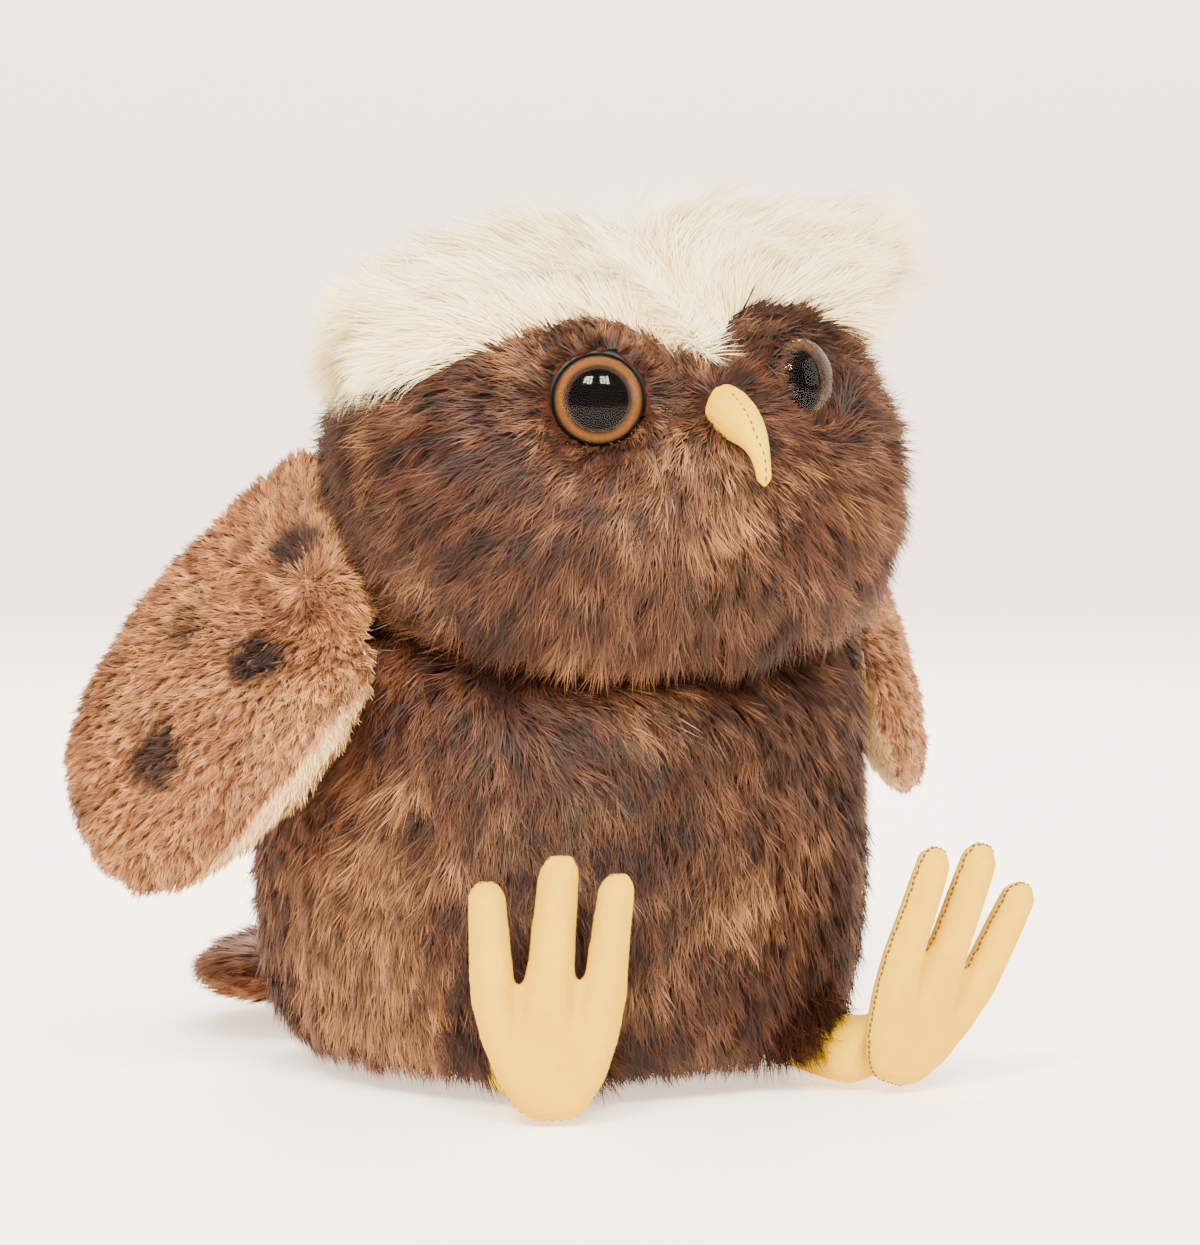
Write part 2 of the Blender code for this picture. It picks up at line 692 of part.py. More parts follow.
def beak_ring(share, inset, columns=BEAK_COLUMNS):
    """Oval ring across the beak."""
    point, ahead = beak_path(share)
    up = ahead.cross(Vector((-1, 0, 0)))
    thin = share * share * (3 - 2 * share)
    wide = lerp(BEAK_HALF_WIDTH, BEAK_TIP_RADIUS, thin) - inset
    high = lerp(BEAK_HALF_HEIGHT, BEAK_TIP_RADIUS, thin) - inset
    return [point + Vector((1, 0, 0)) * wide * math.sin(angle) + up * high * math.cos(angle)
            for angle in (math.tau * column / columns for column in range(columns))]


def beak_tip(inset):
    """End of the beak."""
    point, ahead = beak_path(1)
    return point + ahead * (BEAK_TIP_RADIUS - inset)


def beak_map(inset):
    """Point map of the beak's surface at an inset, from its base to its tip."""
    points = {(BEAK_STEPS + 1, 0): beak_tip(inset)}
    for row in range(BEAK_STEPS + 1):
        for column, point in enumerate(beak_ring(row / BEAK_STEPS, inset)):
            points[(row, column)] = point
    return points


def beak_cover_form():
    """Hollow felt cover, open where it is sewn to the face."""
    cells = grid_keys(BEAK_STEPS + 2, BEAK_COLUMNS, closed_rows=(BEAK_STEPS + 1,))
    return sheet(beak_map(0), beak_map(LEATHER_WALL), list(cells.values()))


def beak_solid(inset, back):
    """Closed form of the beak, from a little behind or ahead of its base."""
    _, ahead = beak_path(0)
    rows = [[point + ahead * back for point in beak_ring(0, inset)]]
    rows += [beak_ring(row / BEAK_STEPS, inset) for row in range(1, BEAK_STEPS + 1)]
    return closed_form([[beak_root() + ahead * back]] + rows + [[beak_tip(inset)]])


def beak_thread_form():
    """Hand stitching down the ridge of the beak, as one thread."""
    spots = []
    for step in range(BEAK_THREAD_STEPS + 1):
        share = lerp(*BEAK_THREAD_SHARES, step / BEAK_THREAD_STEPS)
        point, ahead = beak_path(share)
        up = ahead.cross(Vector((-1, 0, 0)))
        spots.append((beak_ring(share, 0)[0] + up * (FIT_GAP + THREAD_RADIUS), up))
    rings = thread_rings(spots, False)
    return closed_form([[spots[0][0]], *rings, [spots[-1][0]]])


def thread_rings(spots, looped):
    """Rings of a thread through (point, up) spots."""
    rings = []
    last = len(spots) - 1
    for place, (middle, up) in enumerate(spots):
        before = spots[place - 1][0] if looped or place else middle
        after = spots[(place + 1) % len(spots)][0] if looped or place < last else middle
        across = (after - before).cross(up).normalized()
        rings.append([middle + (across * math.cos(angle) + up * math.sin(angle)) * THREAD_RADIUS
                      for angle in (math.tau * side / THREAD_SIDES for side in range(THREAD_SIDES))])
    return rings


def thread_loop(spots):
    """Closed thread through (point, up) spots."""
    shape = bmesh.new()
    rings = [[shape.verts.new(point) for point in ring] for ring in thread_rings(spots, True)]
    for place, ring in enumerate(rings):
        other = rings[(place + 1) % len(rings)]
        for side in range(THREAD_SIDES):
            after = (side + 1) % THREAD_SIDES
            add_face(shape, [ring[side], other[side], other[after], ring[after]])
    return shape


# Flat stuffed pads: wings and tail. X is the thickness, Y is along the sewn edge, -Z is away from it.

class Pad:
    """A stuffed pad between an outer and an inner panel, thin where it is sewn on."""

    def __init__(self, outline, centre, width, length, rows, cavity):
        self.outline = [(wide * width, long * length) for wide, long in outline]
        self.centre = (centre[0] * width, centre[1] * length)
        self.rows = rows
        self.cavity = cavity

    def height(self, share, place, swell, taper):
        """Half thickness at a share of the way to the outline."""
        dome = swell * math.sqrt(max(1 - share ** PAD_ROUND_POWER, 0)) + PAD_EDGE
        root = taper * max(place[1], 0) + SEAM_GAP
        return (dome ** -PAD_ROOT_POWER + root ** -PAD_ROOT_POWER) ** (-1 / PAD_ROOT_POWER)

    def points(self, swell, taper, inset, sign, thinnest=SEAM_GAP + FIT_GAP):
        """Point map from the middle out to the outline and down to the seam."""
        points = {}
        last = self.rows + 1
        spread = self.cavity if inset else 1
        for row in range(last + 1):
            share = min(row / (last if inset else self.rows), 1)
            share = math.sin(share * math.pi / 2) * spread
            for column, corner in enumerate(self.outline):
                place = [lerp(middle, edge, share) for middle, edge in zip(self.centre, corner)]
                if row == last:
                    height = SEAM_GAP / 2
                else:
                    height = self.height(share, place, swell, taper)
                    height = max(height - inset, thinnest) if inset else height
                points[(row, column)] = Vector((height * sign, place[0], -place[1]))
        return points

    def panel(self, swell, taper, wall, sign):
        """One panel as a shallow bowl whose edge meets the other panel."""
        cells = grid_keys(self.rows + 2, len(self.outline), closed_rows=(0,))
        outer = self.points(swell, taper, 0, sign)
        return sheet(outer, self.points(swell, taper, wall, sign), list(cells.values()))

    def stuffing(self, outer, inner):
        """Fill between the two panels; outer and inner are (swell, taper, wall) sets."""
        cells = grid_keys(self.rows + 1, len(self.outline), closed_rows=(0,))
        front, back = [self.points(swell, taper, wall + FIT_GAP, sign, SEAM_GAP)
                       for (swell, taper, wall), sign in ((outer, 1), (inner, -1))]
        return sheet(front, back, list(cells.values()))


# Feet: X across the foot, Z up it from the heel, sole towards -Y

def palm_half_width(rise):
    """Half width of the palm at a height over the heel."""
    share = min(max(rise / PALM_LENGTH, 0), 1)
    return table(share, [(place, wide * PALM_HALF_WIDTH) for place, wide in PALM_WIDTH_SHARES])


def foot_grid():
    """Grid of places in the plane of the foot."""
    places = {}
    across = len(TOE_ENDS) * TOE_COLUMNS
    forks = (-PALM_HALF_WIDTH, *TOE_FORKS, PALM_HALF_WIDTH)
    last = len(PALM_ROW_SHARES) - 1
    for row, share in enumerate(PALM_ROW_SHARES):
        rise = PALM_LENGTH * share
        half = palm_half_width(rise)
        for column in range(across + 1):
            even = lerp(-half, half, column / across)
            toe = min(column // TOE_COLUMNS, len(TOE_ENDS) - 1)
            forked = lerp(forks[toe], forks[toe + 1], column / TOE_COLUMNS - toe)
            places[("palm", row, column)] = Vector((lerp(even, forked * half / PALM_HALF_WIDTH, share), rise))
    for toe, (end, half) in enumerate(zip(TOE_ENDS, TOE_HALF_WIDTHS)):
        first, second = [places[("palm", last, fork * TOE_COLUMNS)] for fork in (toe, toe + 1)]
        root = (first + second) / 2
        for row, (share, wide) in enumerate(TOE_ROW_SHARES):
            middle = root.lerp(Vector(end), share)
            for column in range(TOE_COLUMNS + 1):
                aside = half * wide * (2 * column / TOE_COLUMNS - 1)
                places[("toe", toe, row, column)] = middle + Vector((aside, 0))
    return places


def foot_plan(inset):
    """The foot's grid with its outline drawn in: each point's place and its distance from the outline."""
    places = foot_grid()
    border = foot_border()
    outline = [places[key] for key in border]
    inward = {}
    for number, key in enumerate(border):
        along = outline[(number + 1) % len(outline)] - outline[number - 1]
        inward[key] = Vector((-along.y, along.x)).normalized()
    plan = {}
    for key, place in places.items():
        away, nearest = nearest_to(place, outline)
        heading = inward[key] if key in inward else (place - nearest).normalized()
        moved = place + heading * inset * max(1 - away / FOOT_EDGE, 0)
        plan[key] = (moved, nearest_to(moved, outline)[0])
    return plan


def foot_faces():
    """Faces of the foot's grid: the palm and three toes."""
    faces = []
    last = len(PALM_ROW_SHARES) - 1
    for row in range(last):
        for column in range(len(TOE_ENDS) * TOE_COLUMNS):
            faces.append([("palm", row, column), ("palm", row, column + 1),
                          ("palm", row + 1, column + 1), ("palm", row + 1, column)])
    for toe in range(len(TOE_ENDS)):
        for row in range(len(TOE_ROW_SHARES)):
            for column in range(TOE_COLUMNS):
                across = toe * TOE_COLUMNS + column
                low = [("palm", last, across), ("palm", last, across + 1)]
                if row:
                    low = [("toe", toe, row - 1, column), ("toe", toe, row - 1, column + 1)]
                faces.append(low + [("toe", toe, row, column + 1), ("toe", toe, row, column)])
    return faces


def foot_border():
    """Keys along the foot's outline, in order."""
    sides = {(face[i - 1], face[i]) for face in foot_faces() for i in range(4)}
    following = {first: second for first, second in sides if (second, first) not in sides}
    border = [("palm", 0, 0)]
    while following[border[-1]] != border[0]:
        border.append(following[border[-1]])
    return border


def nearest_to(place, outline):
    """Distance from a place to a closed outline, and the nearest point on it."""
    found = []
    for start, end in zip(outline, outline[1:] + outline[:1]):
        along = (place - start).dot(end - start) / (end - start).length_squared
        nearest = start.lerp(end, min(max(along, 0), 1))
        found.append(((place - nearest).length, nearest))
    return min(found, key=lambda pair: pair[0])


def foot_height(away):
    """Half thickness of the foot at a distance from its outline."""
    share = min(away / FOOT_EDGE, 1)
    return SEAM_GAP / 2 + FOOT_SWELL * math.sqrt(1 - (1 - share) ** 2)


def foot_map(inset, sign, mirror):
    """Point map of the foot's surface at an inset; sign is -1 for the sole and 1 for the upper side."""
    edge = set(foot_border())
    thinnest = max(SEAM_GAP + LEATHER_WALL - inset, SEAM_GAP / 2)
    points = {}
    for key, (place, away) in foot_plan(inset).items():
        height = SEAM_GAP / 2 if key in edge else max(foot_height(away) - inset, thinnest)
        points[key] = Vector((place.x * mirror, sign * height, place.y))
    return points


def foot_stuffing_form(mirror):
    """Fill of the foot, both sides joined around the edge."""
    inset = LEATHER_WALL + FOOT_FILL_GAP
    front = foot_map(inset, -1, mirror)
    back = foot_map(inset, 1, mirror)
    return sheet(front, back, foot_faces())


def foot_thread_form(mirror):
    """Dark stitching along the edge of the sole, as one thread."""
    full = foot_grid()
    outline = [full[key] for key in foot_border()]
    rise = foot_height(THREAD_FROM_EDGE) + FIT_GAP + THREAD_RADIUS
    spots = []
    for place, corner in enumerate(outline):
        along = outline[(place + 1) % len(outline)] - outline[place - 1]
        inward = Vector((-along.y, along.x)).normalized() * THREAD_FROM_EDGE
        spot = corner + inward
        spots.append((Vector((spot.x * mirror, -rise, spot.y)), Vector((0, -1, 0))))
    return thread_loop(spots)


def foot_frame(number):
    """Frame of a foot's heel in the world; number is 0 for the right one and 1 for the left one."""
    side = SIDES[number]
    heel = Matrix.Translation((side * FOOT_ASIDES[number], -FOOT_FORWARDS[number], FOOT_UPS[number]))
    splay = Matrix.Rotation(side * FOOT_SPLAYS[number], 4, 'Z')
    lean = Matrix.Rotation(FOOT_LEANS[number], 4, 'X')
    return heel @ splay @ lean @ Matrix.Rotation(side * FOOT_ROLLS[number], 4, 'Y')


def leg_form(hip):
    """Short stuffed leg from a ball at the hip to the back of the foot, in the foot's frame."""
    ankle = Vector((0, FOOT_SWELL + FIT_GAP + SEAM_GAP, ANKLE_UP_THE_FOOT))
    axis = (ankle - hip).normalized()
    first = axis.orthogonal().normalized()
    second = axis.cross(first)
    rows = [[hip - axis * LEG_RADIUS]]
    for step in range(1, LEG_BALL_ROWS + 1):
        angle = math.pi / 2 * step / LEG_BALL_ROWS
        centre = hip - axis * LEG_RADIUS * math.cos(angle)
        rows.append([centre + (first * math.cos(a) + second * math.sin(a)) * LEG_RADIUS * math.sin(angle)
                     for a in (math.tau * column / LEG_COLUMNS for column in range(LEG_COLUMNS))])
    last = []
    for column in range(LEG_COLUMNS):
        angle = math.tau * column / LEG_COLUMNS
        start = ankle + (first * math.cos(angle) + second * math.sin(angle)) * LEG_ANKLE_RADIUS
        last.append(start + axis * (ankle.y - start.y) / axis.y)
    rows.append(last)
    rows.append([ankle])
    return closed_form(rows)


# Assembly

def build_body(brown, base_cloth, fibre, calico, thread):
    """Body covers, base panel, fill, weight pouch and neck thread."""
    outer = body_map(0)
    inner = body_map(PLUSH_WALL)
    half = ROUND_COLUMNS // 2
    quarter = ROUND_COLUMNS // 4
    panels = {"body_front_panel": [], "body_back_left_panel": [], "body_back_right_panel": []}
    for (row, column), face in grid_keys(len(BODY_PROFILE_SHARES) + 1, ROUND_COLUMNS).items():
        if column < quarter or column >= 3 * quarter:
            panels["body_front_panel"].append(face)
        elif column < half:
            panels["body_back_left_panel"].append(face)
        else:
            panels["body_back_right_panel"].append(face)
    for name, faces in panels.items():
        add_piece(name, sheet(outer, inner, faces, SEAM_GAP), brown)
    add_piece("base_panel", base_panel_form(), base_cloth)
    add_piece("body_stuffing", body_stuffing_form(), fibre)
    add_piece("pellet_pouch", turned(pouch_rings(0)), calico)
    add_piece("neck_thread", neck_thread_form(), thread, place=neck_frame())


def build_head(brown, white, fibre, finishes):
    """Head covers, brows, fill, eyes and beak, all on the neck's pivot."""
    neck = add_pivot("neck_pivot", neck_frame())
    outer = head_map(0)
    inner = head_map(PLUSH_WALL)
    panels = {"face_panel": [], "brow_left": [], "brow_right": [], "head_back_left_panel": [],
              "head_back_right_panel": []}
    for (row, column), face in grid_keys(HEAD_ROWS, ROUND_COLUMNS, closed_rows=(0,)).items():
        turn = math.tau * (column + 0.5) / ROUND_COLUMNS
        side = "left" if turn < math.pi else "right"
        away = min(turn, math.tau - turn)
        if CROWN_ROWS <= row < BROW_EDGE_ROWS and away < BROW_END_ANGLE:
            panels["brow_" + side].append(face)
        elif row >= BROW_EDGE_ROWS and away < FACE_END_ANGLE:
            panels["face_panel"].append(face)
        else:
            panels["head_back_%s_panel" % side].append(face)
    proud = dict(outer)
    middle = head_middle()
    for key, point in outer.items():
        if CROWN_ROWS <= key[0] <= BROW_EDGE_ROWS:
            away = point - middle
            away.z *= lerp(1, BROW_LIFT_SHARE, math.sin(math.pi * (key[0] - CROWN_ROWS) / BROW_ROWS))
            proud[key] = point + away.normalized() * brow_swell(*key)
    pieces = {}
    for name, faces in panels.items():
        brow = name.startswith("brow")
        shape = sheet(proud if brow else outer, inner, faces, SEAM_GAP)
        pieces[name] = add_piece(name, shape, white if brow else brown, neck)
    stuffing = add_piece("head_stuffing", head_stuffing_form(), fibre, neck)
    rooms = []
    for number, word in enumerate(SIDE_WORDS):
        place = eye_place(number)
        for part, form in (("lens", lens_form), ("iris", iris_form), ("pupil", pupil_form),
                           ("rim", eye_rim_form), ("washer", washer_form)):
            add_piece("eye_%s_%s" % (part, word), form(), finishes[part], neck, place)
        rooms.append(add_piece("eye_room_" + word, eye_room_form(), finishes["rim"], neck, place))
    add_piece("beak_cover", beak_cover_form(), finishes["felt"], neck)
    add_piece("beak_stuffing", beak_solid(LEATHER_WALL + FIT_GAP, 0), fibre, neck)
    add_piece("beak_thread", beak_thread_form(), finishes["thread"], neck)
    beak_room = add_piece("beak_room", beak_solid(-FIT_GAP, -FIT_GAP), finishes["rim"], neck)
    cut(pieces["face_panel"], [*rooms, beak_room])
    cut(stuffing, [*rooms, beak_room])


def build_pad(word, pad, pivot, names, sets, cloths, fibre):
    """Two panels and the fill of a wing or the tail."""
    for name, (swell, taper, wall), cloth, sign in zip(names, sets, cloths, (1, -1)):
        add_piece(name, pad.panel(swell, taper, wall, sign), cloth, pivot)
    add_piece(word + "_stuffing", pad.stuffing(*sets), fibre, pivot)


def build_wings(tan, cream, fibre):
    """Both wings, each on an empty whose Y runs along the line that it is sewn on."""
    outer = (WING_OUTER_SWELL, WING_OUTER_TAPER, SHORT_WALL)
    inner = (WING_INNER_SWELL, WING_INNER_TAPER, LINING_WALL)
    for number, (side, word) in enumerate(zip(SIDES, SIDE_WORDS)):
        aside = body_side(WING_PLACE_BACK, WING_PLACE_UP) + WING_ROOT_GAPS[number]
        root = Matrix.Translation((side * aside, WING_PLACE_BACK, WING_PLACE_UP))
        slope = Matrix.Rotation(-side * WING_TURN, 4, 'Z') @ Matrix.Rotation(WING_SLOPES[number], 4, 'X')
        frame = root @ slope @ Matrix.Rotation(-side * WING_SWINGS[number], 4, 'Y')
        if side < 0:
            frame = frame @ Matrix.Rotation(math.pi, 4, 'Z')
        pivot = add_pivot("wing_%s_pivot" % word, frame)
        outline = [(wide * side, long) for wide, long in WING_OUTLINE_SHARES]
        if side < 0:
            outline = outline[::-1]
        centre = (WING_CENTRE_SHARES[0] * side, WING_CENTRE_SHARES[1])
        pad = Pad(outline, centre, WING_CHORD, WING_LENGTH, WING_ROWS, WING_CAVITY_SHARE)
        names = ("wing_%s_outer_panel" % word, "wing_%s_lining" % word)
        build_pad("wing_" + word, pad, pivot, names, (outer, inner), (tan, cream), fibre)


def build_tail(brown, tan, fibre):
    """The tail fan, on an empty whose Y runs along the line that it is sewn on."""
    lay = Matrix(((0, -1, 0, 0), (0, 0, -1, 0), (1, 0, 0, 0), (0, 0, 0, 1)))
    frame = Matrix.Rotation(TAIL_SKEW, 4, 'Z') @ Matrix.Translation((0, TAIL_PLACE_BACK, TAIL_PLACE_UP)) @ lay
    pivot = add_pivot("tail_pivot", frame)
    pad = Pad(TAIL_OUTLINE_SHARES, TAIL_CENTRE_SHARES, TAIL_WIDTH, TAIL_LENGTH, TAIL_ROWS, TAIL_CAVITY_SHARE)
    side = (TAIL_SWELL, TAIL_TAPER, SHORT_WALL)
    build_pad("tail", pad, pivot, ("tail_top_panel", "tail_under_panel"), (side, side), (brown, tan), fibre)


def build_legs(felt, fibre, thread):
    """Both legs with their feet, each on an empty at the hip."""
    for number, (side, word) in enumerate(zip(SIDES, SIDE_WORDS)):
        foot = foot_frame(number)
        hip = foot.inverted() @ Vector((side * LEG_ASIDE, -LEG_FORWARD, LEG_UP))
        pivot = add_pivot("leg_%s_pivot" % word, foot @ Matrix.Translation(hip))
        place = Matrix.Translation(-hip)
        mirror = -side
        inset = LEATHER_WALL
        for name, sign in (("foot_%s_sole", -1), ("foot_%s_upper", 1)):
            shape = sheet(foot_map(0, sign, mirror), foot_map(inset, sign, mirror), foot_faces())
            add_piece(name % word, shape, felt, pivot, place)
        add_piece("foot_%s_stuffing" % word, foot_stuffing_form(mirror), fibre, pivot, place)
        add_piece("foot_%s_thread" % word, foot_thread_form(mirror), thread, pivot, place)
        add_piece("leg_" + word, leg_form(hip), felt, pivot, place)


def main():
    """Build the owl."""
    clear_scene()
    brown = finish("brown plush", BROWN, 0.9)
    tan = finish("tan plush", TAN, 0.9)
    cream = finish("cream lining", CREAM, 0.9)
    white = finish("white plush", WHITE, 0.9)
    fibre = finish("white fibre", FIBRE, 0.95)
    felt = finish("yellow felt", YELLOW, 0.8)
    thread = finish("dark thread", THREAD, 0.7)
    calico = finish("calico", CALICO, 0.9)
    eye_finishes = {"lens": finish("clear plastic", CLEAR, 0.05), "iris": finish("amber plastic", AMBER, 0.3),
                    "pupil": finish("black plastic", BLACK, 0.3), "rim": finish("black felt", BLACK, 0.9),
                    "washer": finish("white nylon", NYLON, 0.5), "felt": felt, "thread": thread}
    build_body(brown, brown, fibre, calico, thread)
    build_head(brown, white, fibre, eye_finishes)
    build_wings(tan, cream, fibre)
    build_tail(brown, tan, fibre)
    build_legs(felt, fibre, thread)


main()
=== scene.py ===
"""Looks of the plush owl: pile, felt, eyes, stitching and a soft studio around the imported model.

Lengths are in metres. The owl faces -Y and its right side is -X.
"""

import json
import logging
import math
from collections.abc import Callable, Sequence
from dataclasses import dataclass, field
from enum import Enum

import bmesh
import bpy
import numpy as np
from mathutils import Matrix, Vector, noise
from mathutils.bvhtree import BVHTree


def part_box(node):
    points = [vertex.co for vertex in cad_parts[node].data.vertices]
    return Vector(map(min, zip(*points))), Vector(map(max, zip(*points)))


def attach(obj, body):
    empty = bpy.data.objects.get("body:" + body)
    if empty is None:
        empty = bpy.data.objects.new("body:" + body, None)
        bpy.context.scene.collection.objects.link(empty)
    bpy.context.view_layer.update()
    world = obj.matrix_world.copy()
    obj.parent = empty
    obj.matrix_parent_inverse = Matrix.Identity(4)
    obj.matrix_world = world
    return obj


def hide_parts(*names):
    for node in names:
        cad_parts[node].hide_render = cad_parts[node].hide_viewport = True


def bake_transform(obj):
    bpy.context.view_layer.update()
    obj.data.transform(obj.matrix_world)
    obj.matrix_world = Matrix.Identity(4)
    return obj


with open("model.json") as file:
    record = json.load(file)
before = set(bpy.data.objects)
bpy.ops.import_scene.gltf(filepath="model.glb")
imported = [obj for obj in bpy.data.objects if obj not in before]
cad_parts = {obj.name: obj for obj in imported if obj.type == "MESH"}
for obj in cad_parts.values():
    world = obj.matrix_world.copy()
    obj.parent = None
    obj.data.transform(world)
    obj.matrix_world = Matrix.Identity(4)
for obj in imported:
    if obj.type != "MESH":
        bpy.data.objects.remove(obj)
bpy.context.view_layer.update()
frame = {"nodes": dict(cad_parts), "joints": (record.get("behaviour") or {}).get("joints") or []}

LOG = logging.getLogger("owl")
MM = 0.001
PHOTO_WIDTH, PHOTO_HEIGHT = 1200, 1245
UP = np.array((0.0, 0.0, 1.0))
TINY = 1e-9
FLOOR_CLEARANCE = 0.4 * MM
NOISE_SEED = 7

Colour = tuple[float, float, float]
Points = np.ndarray
Mesh = bpy.types.Mesh
Material = bpy.types.Material
Object = bpy.types.Object
Socket = bpy.types.NodeSocket


class Side(Enum):
    """One of the owl's own sides, with its sign along X."""

    RIGHT = -1
    LEFT = 1

    @property
    def word(self) -> str:
        """The side's name in node names."""
        return self.name.lower()


def srgb(red: float, green: float, blue: float) -> Colour:
    """Linear colour of a screen colour.

    Args:
        red: Red from 0 to 255.
        green: Green from 0 to 255.
        blue: Blue from 0 to 255.

    Returns:
        The colour as linear shares.
    """
    shares = [value / 255 for value in (red, green, blue)]
    return tuple(s / 12.92 if s <= 0.04045 else ((s + 0.055) / 1.055) ** 2.4 for s in shares)


# Node trees

class NodeTree:
    """A node tree with short ways to add and join nodes."""

    def __init__(self, tree: bpy.types.NodeTree) -> None:
        """Keeps the tree."""
        self.tree = tree

    def node(self, kind: str, **values: object) -> bpy.types.Node:
        """Adds a node and sets its properties."""
        made = self.tree.nodes.new(kind)
        for key, value in values.items():
            setattr(made, key, value)
        return made

    def put(self, socket: Socket, value: object) -> None:
        """Joins a node's output to a socket, or sets the socket's own value."""
        if isinstance(value, Socket):
            self.tree.links.new(value, socket)
        elif socket.type == 'RGBA':
            socket.default_value = (*value, 1.0)
        else:
            socket.default_value = value

    def fed(self, kind: str, given: dict[int | str, object], output: int | str = 0,
            **values: object) -> Socket:
        """Adds a node and feeds it.

        Args:
            kind: The node's type.
            given: What goes into its inputs, by their number or name.
            output: The output that is wanted.
            values: The node's properties.

        Returns:
            That output.
        """
        made = self.node(kind, **values)
        for key, value in given.items():
            self.put(made.inputs[key], value)
        return made.outputs[output]

    def math(self, operation: str, first: object, second: object = 0.0) -> Socket:
        """Adds a math node."""
        return self.fed("ShaderNodeMath", {0: first, 1: second}, operation=operation)

    def product(self, *values: object) -> Socket:
        """Multiplies some values, from the left."""
        made = values[0]
        for value in values[1:]:
            made = self.math('MULTIPLY', made, value)
        return made


class Shader(NodeTree):
    """A material's node tree with its Principled shader."""

    def __init__(self, name: str) -> None:
        """Starts an empty material."""
        self.material = bpy.data.materials.new(name)
        self.material.use_nodes = True
        super().__init__(self.material.node_tree)
        self.base = self.tree.nodes["Principled BSDF"]

    def attribute(self, name: str, output: str = "Fac") -> Socket:
        """Reads a stored attribute of the mesh."""
        return self.fed("ShaderNodeAttribute", {}, output, attribute_name=name)

    def mix(self, share: object, first: object, second: object, blend: str = 'MIX') -> Socket:
        """Mixes two colours and returns the result."""
        return self.fed("ShaderNodeMix", {0: share, 6: first, 7: second}, 2, data_type='RGBA',
                        blend_type=blend)

    def spread(self, value: object, low: float, high: float, to_low: float = 0.0,
               to_high: float = 1.0) -> Socket:
        """Maps a range of values to another one."""
        return self.fed("ShaderNodeMapRange", dict(enumerate((value, low, high, to_low, to_high))))

    def noise(self, scale: float, detail: float = 3.0, roughness: float = 0.55) -> Socket:
        """Adds a noise on the object's own coordinates, in cells to the metre."""
        place = self.fed("ShaderNodeTexCoord", {}, "Object")
        return self.fed("ShaderNodeTexNoise", {"Vector": place, "Scale": scale, "Detail": detail,
                                               "Roughness": roughness}, "Fac")

    def bump(self, height: object, distance: float, strength: float = 1.0) -> None:
        """Joins a bump to the shader."""
        given = {"Strength": strength, "Distance": distance, "Height": height}
        self.set(Normal=self.fed("ShaderNodeBump", given))

    def set(self, **values: object) -> Material:
        """Sets or joins the shader's sockets, named with underscores for spaces. Returns the material."""
        for key, value in values.items():
            self.put(self.base.inputs[key.replace("_", " ")], value)
        return self.material


class GrowthTree(NodeTree):
    """A Geometry Nodes tree with named number inputs, which ends in plain geometry of one material."""

    def __init__(self, name: str, inputs: Sequence[str]) -> None:
        """Makes the tree and its sockets.

        Args:
            name: The tree's name.
            inputs: Names of its number inputs. The one named Seed is a whole number.
        """
        super().__init__(bpy.data.node_groups.new(name, 'GeometryNodeTree'))
        self.sockets: dict[str, str] = {}
        face = self.tree.interface
        face.new_socket("Geometry", in_out='INPUT', socket_type='NodeSocketGeometry')
        for label in inputs:
            kind = 'NodeSocketInt' if label == "Seed" else 'NodeSocketFloat'
            self.sockets[label] = face.new_socket(label, in_out='INPUT', socket_type=kind).identifier
        face.new_socket("Geometry", in_out='OUTPUT', socket_type='NodeSocketGeometry')
        self.given = self.node("NodeGroupInput").outputs

    def vector(self, operation: str, first: object, second: object) -> Socket:
        """Adds a vector math node. For a scaling, the second value is the scale."""
        return self.fed("ShaderNodeVectorMath", {0: first, 3 if operation == 'SCALE' else 1: second},
                        operation=operation)

    def named(self, name: str, kind: str) -> Socket:
        """Reads a stored attribute."""
        return self.fed("GeometryNodeInputNamedAttribute", {"Name": name}, data_type=kind)

    def stored(self, geometry: Socket, name: str, value: object, kind: str = 'FLOAT',
               domain: str = 'INSTANCE') -> Socket:
        """Stores a value on a geometry under a name."""
        given = {"Geometry": geometry, "Name": name, "Value": value}
        return self.fed("GeometryNodeStoreNamedAttribute", given, data_type=kind, domain=domain)

    def combined(self, across: object, deep: object, high: object) -> Socket:
        """Adds a vector of three values."""
        return self.fed("ShaderNodeCombineXYZ", {0: across, 1: deep, 2: high})

    def position(self) -> Socket:
        """The place of each point."""
        return self.fed("GeometryNodeInputPosition", {})

    def aligned(self, vector: Socket, **values: object) -> Socket:
        """A rotation that turns an axis to a vector, after another rotation if one is given as such."""
        given = {"Vector": vector}
        if "rotation" in values:
            given["Rotation"] = values.pop("rotation")
        return self.fed("FunctionNodeAlignRotationToVector", given, **values)

    def end(self, instances: Socket, material: Material) -> None:
        """Makes the instances real, smooth and of one material."""
        real = self.fed("GeometryNodeRealizeInstances", {0: instances})
        smooth = self.fed("GeometryNodeSetShadeSmooth", {"Geometry": real})
        dressed = self.fed("GeometryNodeSetMaterial", {"Geometry": smooth, "Material": material})
        self.put(self.node("NodeGroupOutput").inputs[0], dressed)

    def grown(self, mesh: Mesh, values: dict[str, float]) -> Mesh:
        """Plain mesh of what the tree makes of another mesh, which is used up.

        Args:
            mesh: What it grows on.
            values: The tree's inputs by their names.

        Returns:
            The new mesh.
        """
        helper = mesh_object("ground", mesh)
        step = helper.modifiers.new("growth", 'NODES')
        step.node_group = self.tree
        for label, value in values.items():
            step[self.sockets[label]] = value
        return baked(helper)


# Finishes

